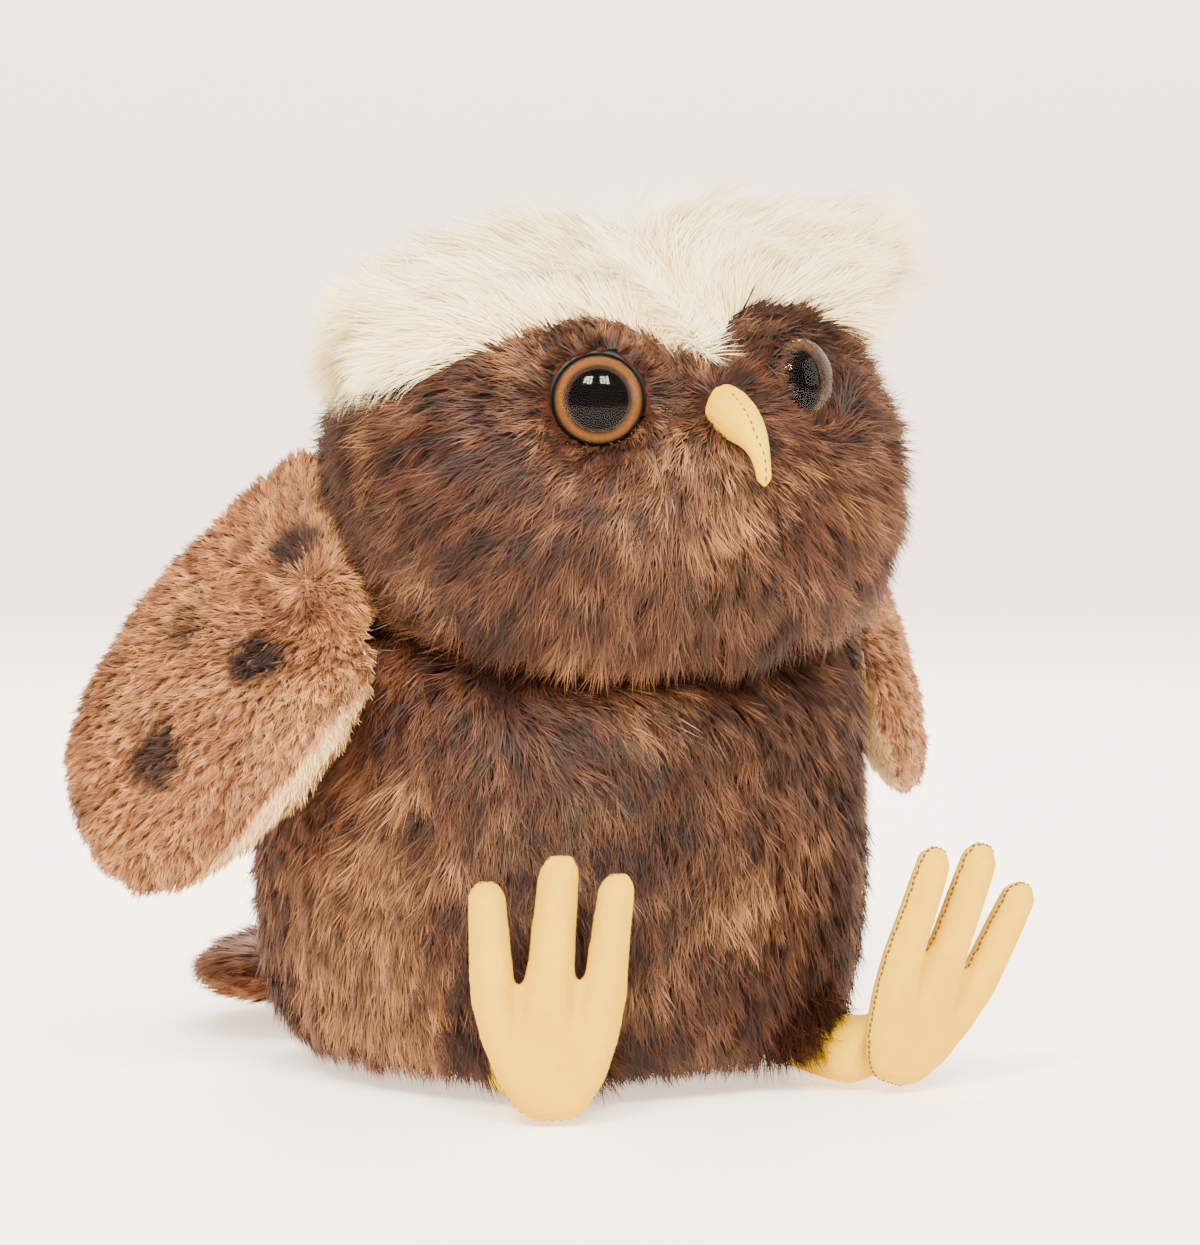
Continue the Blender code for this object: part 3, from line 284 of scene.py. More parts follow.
@dataclass(frozen=True)
class PileFinish:
    """Brushed pile: each hair goes from a dark root to a lighter tip over the tint of its place."""

    name: str
    root_share: float = 0.22
    tip: Colour = (1.0, 1.0, 1.0)
    tip_share: float = 0.6
    contrast: float = 0.45
    sheen: float = 0.08
    sheen_tint: Colour = (1.0, 1.0, 1.0)
    roughness: float = 0.6

    def material(self) -> Material:
        """Builds the pile's material."""
        shader = Shader(self.name)
        tint = shader.attribute("tint", "Color")
        along, shade, tuft = (shader.attribute(name) for name in ("along", "shade", "tuft"))
        share = self.root_share
        root = shader.mix(1.0, tint, (share, share * 0.85, share * 0.75), 'MULTIPLY')
        rise = shader.spread(along, 0.0, 0.8)
        body = shader.mix(rise, root, tint)
        grey = shader.fed("ShaderNodeRGBToBW", {0: tint})
        lit = shader.product(shader.spread(along, 0.35, 1.0), shader.spread(tuft, 0.2, 0.95, 0.1, 1.0),
                             shader.spread(grey, 0.008, 0.05), self.tip_share)
        tipped = shader.mix(lit, body, self.tip)
        both = shader.math('ADD', shader.product(shade, 0.45), shader.product(tuft, 0.55))
        light = shader.spread(both, 0.1, 0.9, 1.0 - self.contrast, 1.0 + self.contrast)
        value = shader.fed("ShaderNodeCombineColor", dict.fromkeys(range(3), light))
        return shader.set(Base_Color=shader.mix(1.0, tipped, value, 'MULTIPLY'), Roughness=self.roughness,
                          Sheen_Weight=self.sheen, Sheen_Roughness=0.45, Sheen_Tint=self.sheen_tint,
                          Specular_IOR_Level=0.25)


@dataclass(frozen=True)
class BackingFinish:
    """Knitted cloth under the pile."""

    name: str
    colour: Colour
    deep: Colour

    def material(self) -> Material:
        """Builds the backing's material."""
        shader = Shader(self.name)
        tint = shader.spread(shader.noise(220.0), 0.35, 0.65)
        shader.bump(shader.noise(1400.0, 2.0), 0.3 * MM, 0.6)
        return shader.set(Base_Color=shader.mix(tint, self.deep, self.colour), Roughness=0.95,
                          Specular_IOR_Level=0.1)


@dataclass(frozen=True)
class FeltFinish:
    """Soft yellow felt with a fine nap, a little handled."""

    name: str
    colour: Colour
    shadow: Colour
    light: Colour

    def material(self) -> Material:
        """Builds the felt's material."""
        shader = Shader(self.name)
        broad = shader.spread(shader.noise(55.0, 4.0), 0.35, 0.68)
        fine = shader.spread(shader.noise(1500.0, 3.0, 0.7), 0.3, 0.7)
        colour = shader.mix(broad, self.colour, self.light)
        shader.bump(shader.noise(2600.0, 4.0, 0.7), 0.12 * MM, 0.7)
        mottled = shader.mix(shader.product(fine, 0.28), colour, self.shadow)
        return shader.set(Base_Color=mottled, Roughness=0.86, Specular_IOR_Level=0.2, Sheen_Weight=0.25,
                          Sheen_Roughness=0.5, Sheen_Tint=self.light)


@dataclass(frozen=True)
class PlasticFinish:
    """Moulded plastic: an even colour with a faint mottle and gloss."""

    name: str
    colour: Colour
    roughness: float
    shine: float = 0.5

    def material(self) -> Material:
        """Builds the plastic's material."""
        shader = Shader(self.name)
        mottled = shader.spread(shader.noise(180.0), 0.3, 0.7, 0.0, 0.25)
        deep = tuple(value * 0.7 for value in self.colour)
        return shader.set(Base_Color=shader.mix(mottled, self.colour, deep), Roughness=self.roughness,
                          Specular_IOR_Level=self.shine)


@dataclass(frozen=True)
class IrisFinish:
    """Amber iris, darker towards its edge and its middle, with fine rays."""

    name: str = "amber iris"
    amber: Colour = srgb(92, 54, 12)
    dark: Colour = srgb(30, 15, 5)

    def material(self) -> Material:
        """Builds the iris's material."""
        shader = Shader(self.name)
        radius = shader.attribute("radius")
        rays = shader.spread(shader.noise(900.0, 2.0), 0.35, 0.7, 0.0, 0.35)
        lit = shader.mix(rays, self.amber, self.dark)
        edge = shader.math('MAXIMUM', shader.spread(radius, 0.9, 1.0), shader.spread(radius, 0.84, 0.76))
        return shader.set(Base_Color=shader.mix(edge, lit, self.dark), Roughness=0.4, Specular_IOR_Level=0.1)


@dataclass(frozen=True)
class LensFinish:
    """Clear moulded dome: see-through, with a sharp gloss."""

    name: str = "clear dome"
    bending: float = 1.24
    roughness: float = 0.04

    def material(self) -> Material:
        """Builds the dome's material."""
        shader = Shader(self.name)
        fresnel = shader.fed("ShaderNodeFresnel", {"IOR": self.bending})
        clear = shader.fed("ShaderNodeBsdfTransparent", {})
        gloss = shader.fed("ShaderNodeBsdfGlossy", {"Roughness": self.roughness})
        behind = shader.fed("ShaderNodeNewGeometry", {}, "Backfacing")
        front = shader.product(fresnel, shader.math('SUBTRACT', 1.0, behind))
        both = shader.fed("ShaderNodeMixShader", {0: front, 1: clear, 2: gloss})
        shader.put(shader.tree.nodes["Material Output"].inputs["Surface"], both)
        shader.tree.nodes.remove(shader.base)
        return shader.material


@dataclass(frozen=True)
class ThreadFinish:
    """Twisted sewing thread."""

    name: str
    colour: Colour

    def material(self) -> Material:
        """Builds the thread's material."""
        shader = Shader(self.name)
        light = tuple(min(value * 2.2 + 0.01, 1.0) for value in self.colour)
        twist = shader.spread(shader.noise(3200.0, 2.0), 0.4, 0.6, 0.0, 0.5)
        return shader.set(Base_Color=shader.mix(twist, self.colour, light), Roughness=0.7)


# Mesh helpers

def mesh_object(name: str, mesh: Mesh, material: Material | None = None) -> Object:
    """Links a mesh as an object at the origin.

    Args:
        name: The object's name.
        mesh: Its mesh, already in place.
        material: Its one material, if any.

    Returns:
        The linked object.
    """
    if material is not None:
        mesh.materials.clear()
        mesh.materials.append(material)
    made = bpy.data.objects.new(name, mesh)
    bpy.context.scene.collection.objects.link(made)
    return made


def baked_copy(helper: Object) -> Mesh:
    """Plain mesh of a helper object as its modifiers leave it."""
    depsgraph = bpy.context.evaluated_depsgraph_get()
    depsgraph.update()
    return bpy.data.meshes.new_from_object(helper.evaluated_get(depsgraph), preserve_all_data_layers=True,
                                           depsgraph=depsgraph)


def drop(helper: Object) -> None:
    """Removes a helper object and its mesh."""
    mesh = helper.data
    bpy.data.objects.remove(helper, do_unlink=True)
    bpy.data.meshes.remove(mesh)


def baked(helper: Object) -> Mesh:
    """Plain mesh of a helper object, which is removed."""
    made = baked_copy(helper)
    drop(helper)
    return made


def from_shape(shape: bmesh.types.BMesh, name: str) -> Mesh:
    """Makes a mesh of a bmesh and frees it."""
    mesh = bpy.data.meshes.new(name)
    shape.to_mesh(mesh)
    shape.free()
    return mesh


def add_ball(shape: bmesh.types.BMesh, middle: Vector, radius: float, fineness: int) -> None:
    """Adds a ball to a shape."""
    place = Matrix.Translation(middle)
    bmesh.ops.create_icosphere(shape, subdivisions=fineness, radius=radius, matrix=place)


def read(items: bpy.types.bpy_prop_collection, key: str, width: int = 3, kind: type = float) -> Points:
    """One property of every item of a mesh.

    Args:
        items: Vertices, faces, corners or an attribute's data.
        key: The property's name.
        width: How many numbers each value has.
        kind: The kind of number.

    Returns:
        A row for each item, or a flat list of single numbers.
    """
    found = np.empty(len(items) * width, dtype=kind)
    items.foreach_get(key, found)
    return found.reshape(-1, width) if width > 1 else found


def node_points(name: str) -> Points:
    """Corner points of a node of the frame."""
    return coordinates(frame["nodes"][name].data)


def node_tree(names: Sequence[str]) -> BVHTree:
    """Search tree over the faces of some nodes."""
    corners, faces = [], []
    for name in names:
        mesh = frame["nodes"][name].data
        start = len(corners)
        corners += [vertex.co.copy() for vertex in mesh.vertices]
        faces += [[index + start for index in face.vertices] for face in mesh.polygons]
    return BVHTree.FromPolygons(corners, faces)


def surface_of(mesh: Mesh) -> BVHTree:
    """Search tree over a mesh's faces."""
    corners = [vertex.co.copy() for vertex in mesh.vertices]
    return BVHTree.FromPolygons(corners, [list(face.vertices) for face in mesh.polygons])


def coordinates(mesh: Mesh) -> Points:
    """Vertex places of a mesh."""
    return read(mesh.vertices, "co")


def normals(mesh: Mesh) -> Points:
    """Vertex normals of a mesh."""
    return read(mesh.vertex_normals, "vector")


def move_to(mesh: Mesh, places: Points) -> None:
    """Sets the vertex places of a mesh."""
    mesh.vertices.foreach_set("co", np.ascontiguousarray(places).ravel())
    mesh.update()


def unit(vectors: Points) -> Points:
    """Vectors of length one."""
    return vectors / np.maximum(np.linalg.norm(vectors, axis=-1, keepdims=True), TINY)


def distances(places: Points, tree: BVHTree) -> Points:
    """Distance from each place to a surface."""
    return np.array([tree.find_nearest(Vector(place))[3] for place in places])


def swirl(places: Points, size: float, seed: float) -> Points:
    """Smooth random vectors over places, one turn about each size."""
    shift = Vector((seed, seed * 0.37, -seed * 0.71))
    return np.array([noise.noise_vector(Vector(place) / size + shift) for place in places])


def swirls(places: Points, *parts: tuple[float, float, float]) -> Points:
    """Sum of some swirls, each given by its size, its seed and its share."""
    return sum(share * swirl(places, size, seed) for size, seed, share in parts)


def mottle(places: Points, size: float, seed: float) -> Points:
    """Smooth random values from about -1 to 1 over places."""
    shift = Vector((seed * 0.61, -seed, seed * 0.29))
    return np.array([noise.fractal(Vector(place) / size + shift, 1.0, 2.0, 3) for place in places])


def on_surface(points: Sequence[Points], tree: BVHTree, lift: float) -> tuple[Points, Points]:
    """Points laid on a surface.

    Args:
        points: The points near it.
        tree: The surface.
        lift: How far they stay above it.

    Returns:
        The laid points, and for each one the way into the surface.
    """
    hits = [tree.find_nearest(Vector(point))[:2] for point in points]
    return np.array([hit + normal * lift for hit, normal in hits]), np.array([-normal for _, normal in hits])


def clear_of(places: Points, names: Sequence[str], gap: float) -> Points:
    """Places moved out of some closed nodes, to stay at least a gap outside them."""
    tree = node_tree(names)
    moved = places.copy()
    for number, place in enumerate(places):
        hit, normal, _, _ = tree.find_nearest(Vector(place))
        outside = (Vector(place) - hit).dot(normal)
        if outside < gap:
            moved[number] += np.array(normal) * (gap - outside)
    return moved


def smooth_step(values: Points, low: float, high: float) -> Points:
    """Soft step from 0 to 1 between two values."""
    share = np.clip((values - low) / (high - low), 0.0, 1.0)
    return share * share * (3.0 - 2.0 * share)


def store(mesh: Mesh, name: str, kind: str, values: Points) -> None:
    """Stores a value for each vertex of a mesh."""
    layer = mesh.attributes.new(name, kind, 'POINT')
    key = {"FLOAT": "value", "FLOAT_VECTOR": "vector", "FLOAT_COLOR": "color"}[kind]
    layer.data.foreach_set(key, np.ascontiguousarray(values, dtype=np.float32).ravel())


def forget(mesh: Mesh, names: Sequence[str]) -> None:
    """Removes the named attributes that a mesh has."""
    for name in names:
        if name in mesh.attributes:
            mesh.attributes.remove(mesh.attributes[name])


# Stuffed forms

@dataclass
class StuffedForm:
    """The outer form of some sewn nodes as one smooth, swollen skin, drawn in to leave room for the pile."""

    covers: Sequence[str]
    fills: Sequence[str]
    voxel: float = 4.0 * MM
    inset: float = 5.5 * MM
    fill_depth: float = 7.1 * MM
    proud_share: float = 0.42
    deepest: float = 14.0 * MM
    over_fill: float = 1.0 * MM
    plump_cap: float = 2.2 * MM
    smoothing: int = 6
    subdivisions: int = 1
    plugs: Sequence[tuple[Vector, float]] = ()
    hull: Sequence[tuple[Vector, float]] = ()

    FRAMES = 20
    PRESSURE = 4.0
    SKIN_GAP = 0.4 * MM

    def joined(self) -> Object:
        """A helper object with a copy of every node, a ball in each hole, and the hull of some more."""
        shape = bmesh.new()
        for name in (*self.covers, *self.fills):
            shape.from_mesh(frame["nodes"][name].data)
        for middle, radius in self.plugs:
            add_ball(shape, middle, radius, 3)
        if self.hull:
            around = self.around_balls()
            shape.from_mesh(around)
            bpy.data.meshes.remove(around)
        bmesh.ops.remove_doubles(shape, verts=shape.verts, dist=0.01 * MM)
        return mesh_object("form", from_shape(shape, "form"))

    def around_balls(self) -> Mesh:
        """The tightest closed skin around the hull's balls."""
        balls, around = bmesh.new(), bmesh.new()
        for middle, radius in self.hull:
            add_ball(balls, middle, radius, 2)
        for vertex in balls.verts:
            around.verts.new(vertex.co)
        balls.free()
        bmesh.ops.convex_hull(around, input=around.verts)
        bmesh.ops.delete(around, geom=[v for v in around.verts if not v.link_faces], context='VERTS')
        return from_shape(around, "hull")

    def remeshed(self) -> Mesh:
        """Even mesh of the joined nodes' outer surface."""
        helper = self.joined()
        step = helper.modifiers.new("even", 'REMESH')
        step.mode = 'VOXEL'
        step.voxel_size = self.voxel
        return self.outermost(baked(helper))

    @staticmethod
    def outermost(mesh: Mesh) -> Mesh:
        """Keeps only the largest shell of a mesh."""
        shape = bmesh.new()
        shape.from_mesh(mesh)
        left, shells = set(shape.verts), []
        while left:
            start = left.pop()
            shell, edge = {start}, [start]
            while edge:
                for link in edge.pop().link_edges:
                    for vertex in link.verts:
                        if vertex in left:
                            left.remove(vertex)
                            shell.add(vertex)
                            edge.append(vertex)
            shells.append(shell)
        largest = max(shells, key=len)
        gone = [vertex for shell in shells if shell is not largest for vertex in shell]
        bmesh.ops.delete(shape, geom=gone, context='VERTS')
        bmesh.ops.recalc_face_normals(shape, faces=shape.faces)
        shape.to_mesh(mesh)
        shape.free()
        return mesh

    def plump(self, mesh: Mesh) -> Mesh:
        """Swells the skin as stuffing does, by cloth under pressure, each point by no more than the cap.

        Args:
            mesh: The closed skin.

        Returns:
            The same mesh with its points moved.
        """
        if not self.plump_cap:
            return mesh
        scene = bpy.context.scene
        before = coordinates(mesh)
        helper = mesh_object("plump", mesh.copy())
        cloth = helper.modifiers.new("plump", 'CLOTH')
        cloth.settings.quality = 5
        cloth.settings.use_pressure = True
        cloth.settings.uniform_pressure_force = self.PRESSURE
        cloth.settings.effector_weights.gravity = 0.0
        cloth.collision_settings.use_collision = False
        for step in range(self.FRAMES):
            scene.frame_set(step + 1)
        swollen = baked_copy(helper)
        shift = coordinates(swollen) - before
        scene.frame_set(1)
        drop(helper)
        bpy.data.meshes.remove(swollen)
        length = np.linalg.norm(shift, axis=1, keepdims=True)
        shift *= np.minimum(self.plump_cap / np.maximum(length, TINY), 1.0)
        move_to(mesh, before + shift)
        return mesh

    def smoothed(self, mesh: Mesh) -> Mesh:
        """Evens out the facets and adds finer faces."""
        helper = mesh_object("smooth", mesh)
        step = helper.modifiers.new("smooth", 'SMOOTH')
        step.iterations = self.smoothing
        step.factor = 0.5
        finer = helper.modifiers.new("finer", 'SUBSURF')
        finer.levels = finer.render_levels = self.subdivisions
        return baked(helper)

    def skin(self) -> Mesh:
        """The finished skin, with the number of its cover stored on each face."""
        mesh = self.smoothed(self.plump(self.remeshed()))
        middles = read(mesh.polygons, "center")
        away = np.stack([distances(middles, node_tree([name])) for name in self.covers])
        panel = mesh.attributes.new("panel", 'INT', 'FACE')
        panel.data.foreach_set("value", np.argmin(away, axis=0).astype(np.int32))
        places = coordinates(mesh)
        depth = distances(places, node_tree(self.fills))
        inset = self.inset + self.proud_share * np.maximum(depth - self.fill_depth, 0.0)
        inset = np.minimum(np.minimum(inset, self.deepest), np.maximum(depth - self.over_fill, 0.0))
        places = places - normals(mesh) * inset[:, None]
        move_to(mesh, clear_of(places, self.fills, self.SKIN_GAP) if self.inset else places)
        return mesh

    def patch(self, skin: Mesh, number: int) -> Mesh:
        """The part of a skin that one cover holds."""
        shape = bmesh.new()
        shape.from_mesh(skin)
        layer = shape.faces.layers.int["panel"]
        bmesh.ops.delete(shape, geom=[face for face in shape.faces if face[layer] != number], context='FACES')
        return from_shape(shape, "patch")


def finished(name: str, mesh: Mesh, body: str, node: str,
             material: Material | None = None) -> Object:
    """Args:
        name: The piece's name.
        mesh: Its mesh, in place.
        body: The body that it rides on, or nothing if that is set later.
        node: The node that it stands for, if any.
        material: Its material, unless the mesh has one already.

    Returns:
        The piece.
    """
    piece = mesh_object(name, mesh, material)
    if node:
        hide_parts(node)
    if body:
        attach(piece, body)
    LOG.info("%s: %d faces", name, len(mesh.polygons))
    return piece


def cover_piece(name: str, patch: Mesh, wall: float, material: Material, body: str,
                node: str) -> Object:
    """Closed cloth panel made from a patch of skin.

    Args:
        name: The piece's name.
        patch: The patch of skin.
        wall: The cloth's thickness.
        material: The cloth's material.
        body: The body that it rides on, or nothing if that is set later.
        node: The node that it stands for.

    Returns:
        The finished piece.
    """
    helper = mesh_object("wall", patch.copy())
    step = helper.modifiers.new("wall", 'SOLIDIFY')
    step.thickness = wall
    step.offset = -1.0
    mesh = baked(helper)
    forget(mesh, ("flow", "pile", "tint", "cover", "panel"))
    mesh.shade_smooth()
    return finished(name, mesh, body, node, material)


# Pile

class PileTree(GrowthTree):
    """Node tree that plants hairs over a skin, along its stored flow."""

    INPUTS = ("Hairs", "Length", "Width", "Rise", "Bend", "Clump Size", "Clump Share", "Tuft Size",
              "Tuft Pull", "Tuft Lean", "Stray Share", "Roll", "Seed")
    HALF = (0.5, 0.5, 0.5)
    TAPER = 0.6

    def __init__(self, segments: int, material: Material, name: str) -> None:
        """Builds the tree.

        Args:
            segments: Faces along each hair.
            material: The pile's material.
            name: The tree's name.
        """
        super().__init__(name, self.INPUTS)
        self.segments = segments
        self.build(material)

    def random(self, low: object, high: object, salt: int, kind: str = 'FLOAT') -> Socket:
        """A random value or vector for each hair."""
        vector = kind == 'FLOAT_VECTOR'
        given = {0: low, 1: high} if vector else {2: low, 3: high}
        given["Seed"] = self.math('ADD', self.given["Seed"], float(salt))
        return self.fed("FunctionNodeRandomValue", given, 0 if vector else 1, data_type=kind)

    def inverse(self, name: str) -> Socket:
        """One divided by one of the tree's inputs."""
        return self.math('DIVIDE', 1.0, self.given[name])

    def hair(self) -> Socket:
        """One flat hair of unit length and width, tapered, bent back towards the skin."""
        grid = self.fed("GeometryNodeMeshGrid", {0: 1.0, 1: 1.0, 2: 2, 3: self.segments + 1})
        place = self.node("ShaderNodeSeparateXYZ")
        self.put(place.inputs[0], self.position())
        along = self.math('ADD', place.outputs[1], 0.5)
        kept = self.stored(grid, "along", along, domain='POINT')
        taper = self.math('POWER', self.math('SUBTRACT', 1.0, along), self.TAPER)
        shape = self.combined(self.product(place.outputs[0], taper, -1.0),
                              self.product(along, along, self.given["Bend"], -1.0), along)
        bent = self.fed("GeometryNodeSetPosition", {"Geometry": kept, "Position": shape})
        return self.fed("GeometryNodeMergeByDistance", {"Geometry": bent, "Distance": 0.0001})

    def heading(self, outward: Socket, cells: bpy.types.Node) -> Socket:
        """Which way each hair points: along the flow, raised, in clumps and tufts, with some strays."""
        given = self.given
        clump = self.fed("ShaderNodeTexNoise", {"Scale": self.inverse("Clump Size"), "Detail": 1.5}, "Color")
        clump = self.vector('SCALE', self.vector('SUBTRACT', clump, self.HALF),
                            self.product(given["Clump Share"], 3.2))
        stray = self.random((-1.0, -1.0, -1.0), (1.0, 1.0, 1.0), 3, 'FLOAT_VECTOR')
        stray = self.vector('SCALE', stray, given["Stray Share"])
        pull = self.vector('SUBTRACT', cells.outputs["Position"], self.position())
        pull = self.vector('SCALE', pull, self.math('DIVIDE', given["Tuft Pull"], given["Length"]))
        lean = self.vector('SUBTRACT', cells.outputs["Color"], self.HALF)
        lean = self.vector('ADD', pull, self.vector('SCALE', lean, given["Tuft Lean"]))
        heading = self.vector('ADD', self.vector('SCALE', outward, given["Rise"]),
                              self.named("flow", 'FLOAT_VECTOR'))
        heading = self.vector('ADD', self.vector('ADD', heading, clump), self.vector('ADD', stray, lean))
        return self.fed("ShaderNodeVectorMath", {0: heading}, operation='NORMALIZE')

    def build(self, material: Material) -> None:
        """Joins the whole tree."""
        given = self.given
        spread = self.node("GeometryNodeDistributePointsOnFaces")
        for name, value in (("Mesh", given["Geometry"]), ("Seed", given["Seed"]),
                            ("Density", self.product(given["Hairs"], self.named("cover", 'FLOAT')))):
            self.put(spread.inputs[name], value)
        outward = spread.outputs["Normal"]
        cells = self.node("ShaderNodeTexVoronoi")
        self.put(cells.inputs["Scale"], self.inverse("Tuft Size"))
        upright = self.aligned(self.heading(outward, cells), axis='Z')
        faced = self.aligned(outward, rotation=upright, axis='Y', pivot_axis='Z')
        turn = self.combined(0.0, 0.0, self.product(self.random(-1.0, 1.0, 7), given["Roll"]))
        rolled = self.fed("FunctionNodeRotateRotation", {0: faced, 1: turn}, rotation_space='LOCAL')
        long = self.product(given["Length"], self.named("pile", 'FLOAT'), self.random(0.72, 1.12, 11))
        size = self.combined(self.product(given["Width"], self.random(0.7, 1.3, 13)), long, long)
        kept = self.fed("GeometryNodeInstanceOnPoints", {
            "Points": spread.outputs["Points"], "Instance": self.hair(), "Rotation": rolled, "Scale": size})
        kept = self.stored(kept, "shade", self.random(0.0, 1.0, 17))
        kept = self.stored(kept, "tuft", self.fed("ShaderNodeSeparateXYZ", {0: cells.outputs["Color"]}))
        for name, value in (("outward", outward), ("root", self.position())):
            kept = self.stored(kept, name, value, 'FLOAT_VECTOR')
        self.end(kept, material)


@dataclass
class Pile:
    """Pile of one length and density, grown over patches of skin."""

    tree: PileTree
    hairs: float
    length: float
    width: float
    rise: float
    bend: float = 0.3
    clump_size: float = 9.0 * MM
    clump_share: float = 0.3
    tuft_size: float = 2.8 * MM
    tuft_pull: float = 0.8
    tuft_lean: float = 0.5
    stray_share: float = 0.15
    roll: float = 0.8
    softness: float = 0.6
    seed: int = 1

    MOST_FACES = 185000
    MAP_EDGE = 0.01
    MAP_SPOT = 0.0016
    MAP_SAMPLES = 5000

    def grow(self, name: str, patch: Mesh, body: str, slot: str) -> list[Object]:
        """Grows the pile on a patch, in as many pieces side by side as keep each one small enough.

        Args:
            name: The piece's name.
            patch: Skin with its flow, pile, tint and cover stored.
            body: The body that it rides on, or nothing if that is set later.
            slot: The record's material slot; not used.

        Returns:
            The pieces of pile.
        """
        areas = read(patch.polygons, "area", 1)
        count = math.ceil(areas.sum() * self.hairs * (2 * self.tree.segments - 1) / self.MOST_FACES)
        if count == 1:
            return [self.grow_piece(name, patch, body)]
        middles = read(patch.polygons, "center")
        order = np.argsort(middles[:, int(np.argmax(np.ptp(middles, axis=0)))])
        share = np.cumsum(areas[order]) / areas.sum()
        part = np.empty(len(order), dtype=int)
        part[order] = np.minimum((share * count).astype(int), count - 1)
        made = []
        for number in range(count):
            shape = bmesh.new()
            shape.from_mesh(patch)
            shape.faces.ensure_lookup_table()
            gone = [shape.faces[index] for index in np.flatnonzero(part != number)]
            bmesh.ops.delete(shape, geom=gone, context='FACES')
            section = from_shape(shape, "section")
            made.append(self.grow_piece("%s_%d" % (name, number + 1), section, body))
            bpy.data.meshes.remove(section)
        return made

    def grow_piece(self, name: str, patch: Mesh, body: str) -> Object:
        """Grows the pile on one patch as one plain piece."""
        values = {label: getattr(self, label.lower().replace(" ", "_")) for label in PileTree.INPUTS}
        mesh = self.tree.grown(patch.copy(), values)
        places = coordinates(mesh)
        places[:, 2] = np.maximum(places[:, 2], FLOOR_CLEARANCE)
        move_to(mesh, places)
        self.soften(mesh)
        self.lay_map(mesh)
        forget(mesh, ("flow", "pile", "cover", "root", "outward", "panel"))
        return finished(name, mesh, body, "")

    def soften(self, mesh: Mesh) -> None:
        """Turns the hairs' normals towards the skin's, so that light falls on the pile as a soft whole."""
        outward = unit(read(mesh.attributes["outward"].data, "vector"))
        own = normals(mesh)
        own *= np.where(np.sum(own * outward, axis=1) < 0.0, -1.0, 1.0)[:, None]
        mixed = unit(outward * self.softness + own * (1.0 - self.softness))
        mesh.normals_split_custom_set_from_vertices(mixed.tolist())

    def lay_map(self, mesh: Mesh) -> None:
        """Lays every hair on the bake map by its root, in one band for each stretch of its length."""
        root = read(mesh.attributes["root"].data, "vector")
        along = read(mesh.attributes["along"].data, "value", 1)
        centred = root - root.mean(axis=0)
        axes = np.linalg.svd(centred[:: max(len(root) // self.MAP_SAMPLES, 1)], full_matrices=False)[2]
        flat = centred @ axes[:2].T
        flat = (flat - flat.min(axis=0)) / np.maximum(np.ptp(flat, axis=0), TINY)
        corners = read(mesh.loops, "vertex_index", 1, np.int64)
        starts = read(mesh.polygons, "loop_start", 1, np.int64)
        totals = read(mesh.polygons, "loop_total", 1, np.int64)
        face = np.repeat(np.arange(len(starts)), totals)
        height = np.bincount(face, weights=along[corners]) / totals
        bands = self.tree.segments
        band = np.minimum((height * bands).astype(int), bands - 1)[face]
        turn = (np.arange(len(corners)) - starts[face]) * math.tau / totals[face] + 0.6
        inside = self.MAP_EDGE + (1.0 - 2.0 * self.MAP_EDGE) * flat[corners]
        across = inside[:, 0] + self.MAP_SPOT * np.cos(turn)
        upward = (band + inside[:, 1]) / bands + self.MAP_SPOT * np.sin(turn)
        layer = mesh.uv_layers.new(name="OFBake")
        layer.uv.foreach_set("vector", np.stack([across, upward], 1).astype(np.float32).ravel())


# Photograph's view

